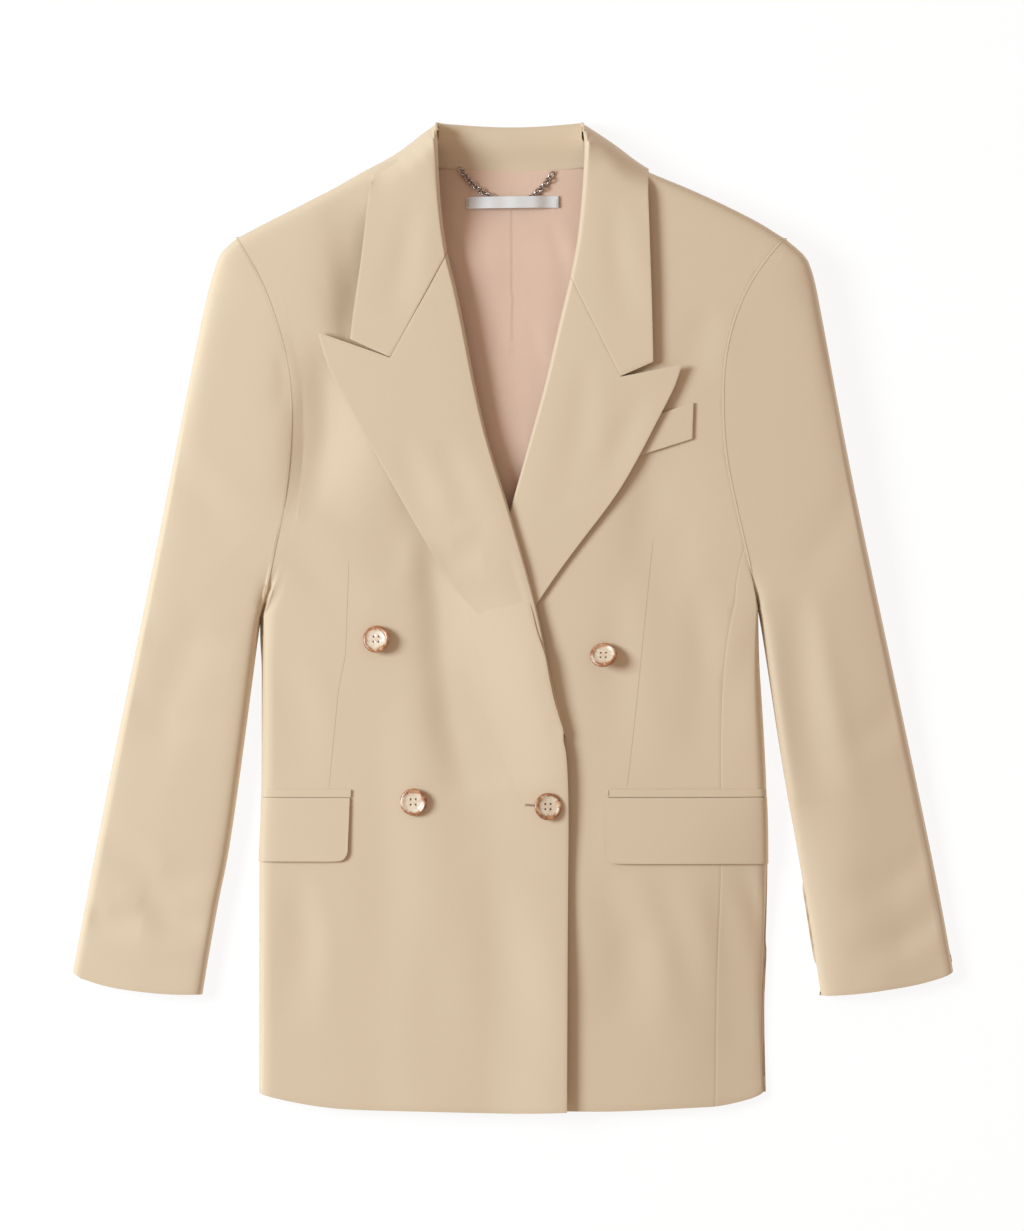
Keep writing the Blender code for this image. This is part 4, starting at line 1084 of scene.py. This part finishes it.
def hang_chain():
    """Curb chain: a rolled pair of links, repeated and laid along the loop's route."""
    bpy.ops.mesh.primitive_torus_add(major_segments=24, minor_segments=10,
                                     major_radius=LINK_RADIUS * MM, minor_radius=LINK_WIRE * MM)
    chain = bpy.context.object
    chain.name = "hanger_links"
    bpy.ops.object.mode_set(mode="EDIT")
    bpy.ops.mesh.select_all(action="SELECT")
    bpy.ops.transform.resize(value=(1.3, 0.92, 1), center_override=(0, 0, 0))
    bpy.ops.transform.rotate(value=math.radians(LINK_ROLL), orient_axis="X",
                             center_override=(0, 0, 0))
    bpy.ops.mesh.duplicate()
    bpy.ops.transform.rotate(value=math.radians(-2 * LINK_ROLL), orient_axis="X",
                             center_override=(0, 0, 0))
    bpy.ops.transform.translate(value=(LINK_PITCH * MM, 0, 0))
    bpy.ops.object.mode_set(mode="OBJECT")
    with_modifier(chain, "ARRAY", count=LINK_PAIRS, use_relative_offset=False,
                  use_constant_offset=True,
                  constant_offset_displace=(2 * LINK_PITCH * MM, 0, 0))
    route = bpy.data.curves.new("chain_route", "CURVE")
    route.dimensions, route.resolution_u = "2D", 24
    spline = route.splines.new("NURBS")
    spline.points.add(len(CHAIN_ROUTE) - 1)
    for point, (x, y) in zip(spline.points, CHAIN_ROUTE):
        point.co = (x * MM, y * MM, 0, 1)
    spline.order_u, spline.use_endpoint_u = 3, True
    guide = bpy.data.objects.new("chain_route", route)
    bpy.context.scene.collection.objects.link(guide)
    with_modifier(chain, "CURVE", object=guide, deform_axis="POS_X")
    bpy.data.objects.remove(guide, do_unlink=True)
    bpy.data.curves.remove(route)
    co = points_of(chain.data)
    co[:, 2] += (CHAIN_HEIGHT + lining_lift(co[:, :2] / MM)) * MM
    put_points(chain.data, co)
    chain.data.shade_smooth()
    belongs(chain, gunmetal())
    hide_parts("hanger_chain")


hang_chain()


# ======== hand stitches
def tree_of(piece):
    """A search tree over a piece's faces."""
    work = bmesh.new()
    work.from_mesh(piece.data)
    tree = BVHTree.FromBMesh(work)
    work.free()
    return tree


TOPS = {node: tree_of(piece) for node, piece in cloth.items()}


def lies_on(node, x, y):
    """Height of a piece's upper face at a plane place, in millimetres."""
    hit = TOPS[node].ray_cast(Vector((x, y, 100)) * MM, Vector((0, 0, -1)))
    return hit[0].z / MM


def set_on(node, part, place, turn, lift):
    """Turn a part about Z and set it on a piece's upper face."""
    x, y = place
    height = lies_on(node, x, y) + lift
    part.data.transform(Matrix.Translation((x * MM, y * MM, height * MM))
                        @ Matrix.Rotation(turn, 4, "Z"))


def stitch_row(name, node, start, end, width, pitch=0.42, thick=0.2, finish=TWIST):
    """Close stitches side by side from start to end, each lying across the row."""
    (x, y), (x2, y2) = start, end
    run = math.hypot(x2 - x, y2 - y)
    count = max(2, round(run / pitch))
    slope = (lies_on(node, x2, y2) - lies_on(node, x, y)) / run
    row = rod(thick, width, (0, 0, 0), 8, 0.8)
    row.data.transform(Matrix.Rotation(math.radians(90), 4, "X"))
    with_modifier(row, "ARRAY", count=count, use_relative_offset=False, use_constant_offset=True,
                  constant_offset_displace=(run / count * MM, 0, slope * run / count * MM))
    set_on(node, row, start, math.atan2(y2 - y, x2 - x), thick * 0.4)
    joined(name, [row], finish)


LIP_OUT = 0.62          # from the cut to the middle of each worked lip
BAR_OUT = 1.1           # half length of the bar across the end


def work_buttonhole(name, node, start, end):
    """Two worked lips with a bar across the outer end, and between them a thin dark rod that
    paints the slit's shadow.
    """
    a, b = Vector(start), Vector(end)
    along = (b - a).normalized()
    aside = Vector((-along.y, along.x))
    for key, shift in (("upper", LIP_OUT), ("lower", -LIP_OUT)):
        stitch_row(name + "_" + key, node, a + aside * shift, b + aside * shift, 0.95, 0.40)
    bar = a - along * 0.1
    stitch_row(name + "_bar", node, bar - aside * BAR_OUT, bar + aside * BAR_OUT, 0.9, 0.36, 0.24)
    # painted shadow: a thin dark rod in the slit between the lips
    slit_shadow_rod = rod(0.14, (b - a).length - 0.6, (0, 0, 0), 8, 0.8)
    slit_shadow_rod.data.transform(Matrix.Rotation(math.radians(90), 4, "Y"))
    set_on(node, slit_shadow_rod, (a + b) / 2, math.atan2(along.y, along.x), 0.02)
    joined(name + "_cut", [slit_shadow_rod], sewing_thread("painted_slit_shadow", (0.24, 0.16, 0.10)))


BUTTONHOLE = ((10.5, -156.4), (24.5, -157.6))
TACK = ((79.9, -144.6), (79.9, -149.4))
LABEL_ENDS = (("right", -37.6), ("left", 36.8))
LABEL_HEIGHTS = (345.6, 352.2)

work_buttonhole("front_buttonhole", "front_right", *BUTTONHOLE)
stitch_row("pocket_tack", "pocket_jet_left", *TACK, 1.0)
for end, x in LABEL_ENDS:
    stitch_row("label_stitches_" + end, "neck_label", *((x, y) for y in LABEL_HEIGHTS),
               1.1, 0.9, 0.16, THREAD)


# ======== light, floor and camera
WINDOW_PLACE = (-3.15, 0.59, 2.59)
WINDOW_SIZE = 1.75
WINDOW_POWER = 166
WINDOW_COLOUR = (0.78, 0.91, 1.0)
ROOM_COLOUR = (1.0, 0.79, 0.65, 1)
ROOM_LIGHT = 0.47
LENS = 250.0
SENSOR = 36.0
EDGE_HEIGHT = 0.008             # height of the garment's outline, which the camera frames
FRAME_TALL = 1.034              # height of the view at that level, in metres
FRAME_MIDDLE = (-0.00084, 0.0021)


def lay_floor():
    bpy.ops.mesh.primitive_plane_add(size=8.0, location=(0, 0, -0.0002))
    floor = bpy.context.object
    floor.name = "floor"
    bpy.ops.object.transform_apply(location=True, rotation=True, scale=True)
    floor.data.materials.append(backdrop())


def open_window():
    """A large soft light from the upper left."""
    light = bpy.data.lights.new("window", "AREA")
    light.shape, light.size = "DISK", WINDOW_SIZE
    light.energy, light.color = WINDOW_POWER, WINDOW_COLOUR
    lamp = bpy.data.objects.new("window", light)
    bpy.context.scene.collection.objects.link(lamp)
    lamp.location = WINDOW_PLACE
    lamp.rotation_euler = (-Vector(WINDOW_PLACE)).to_track_quat("-Z", "Y").to_euler()


def light_room():
    """Warm light from all around, before a background that shows white."""
    world = bpy.data.worlds.new("room")
    world.use_nodes = True
    tree = world.node_tree
    warm = tree.nodes["Background"]
    warm.inputs["Color"].default_value = ROOM_COLOUR
    warm.inputs["Strength"].default_value = ROOM_LIGHT
    seen = tree.nodes.new("ShaderNodeBackground")
    seen.inputs["Color"].default_value = (1, 1, 1, 1)
    path = tree.nodes.new("ShaderNodeLightPath")
    mix = tree.nodes.new("ShaderNodeMixShader")
    tree.links.new(path.outputs["Is Camera Ray"], mix.inputs[0])
    tree.links.new(warm.outputs[0], mix.inputs[1])
    tree.links.new(seen.outputs[0], mix.inputs[2])
    tree.links.new(mix.outputs[0], tree.nodes["World Output"].inputs[0])
    bpy.context.scene.world = world
    bpy.context.scene.view_settings.view_transform = "Standard"
    bpy.context.scene.view_settings.look = "None"


def set_up_camera():
    """Straight above the garment, with a long lens."""
    camera = bpy.data.cameras.new("camera")
    camera.lens, camera.sensor_width, camera.clip_end = LENS, SENSOR, 20
    thing = bpy.data.objects.new("camera", camera)
    bpy.context.scene.collection.objects.link(thing)
    thing.location = (*FRAME_MIDDLE, FRAME_TALL * LENS / SENSOR + EDGE_HEIGHT)
    bpy.context.scene.camera = thing


lay_floor()
open_window()
light_room()
set_up_camera()
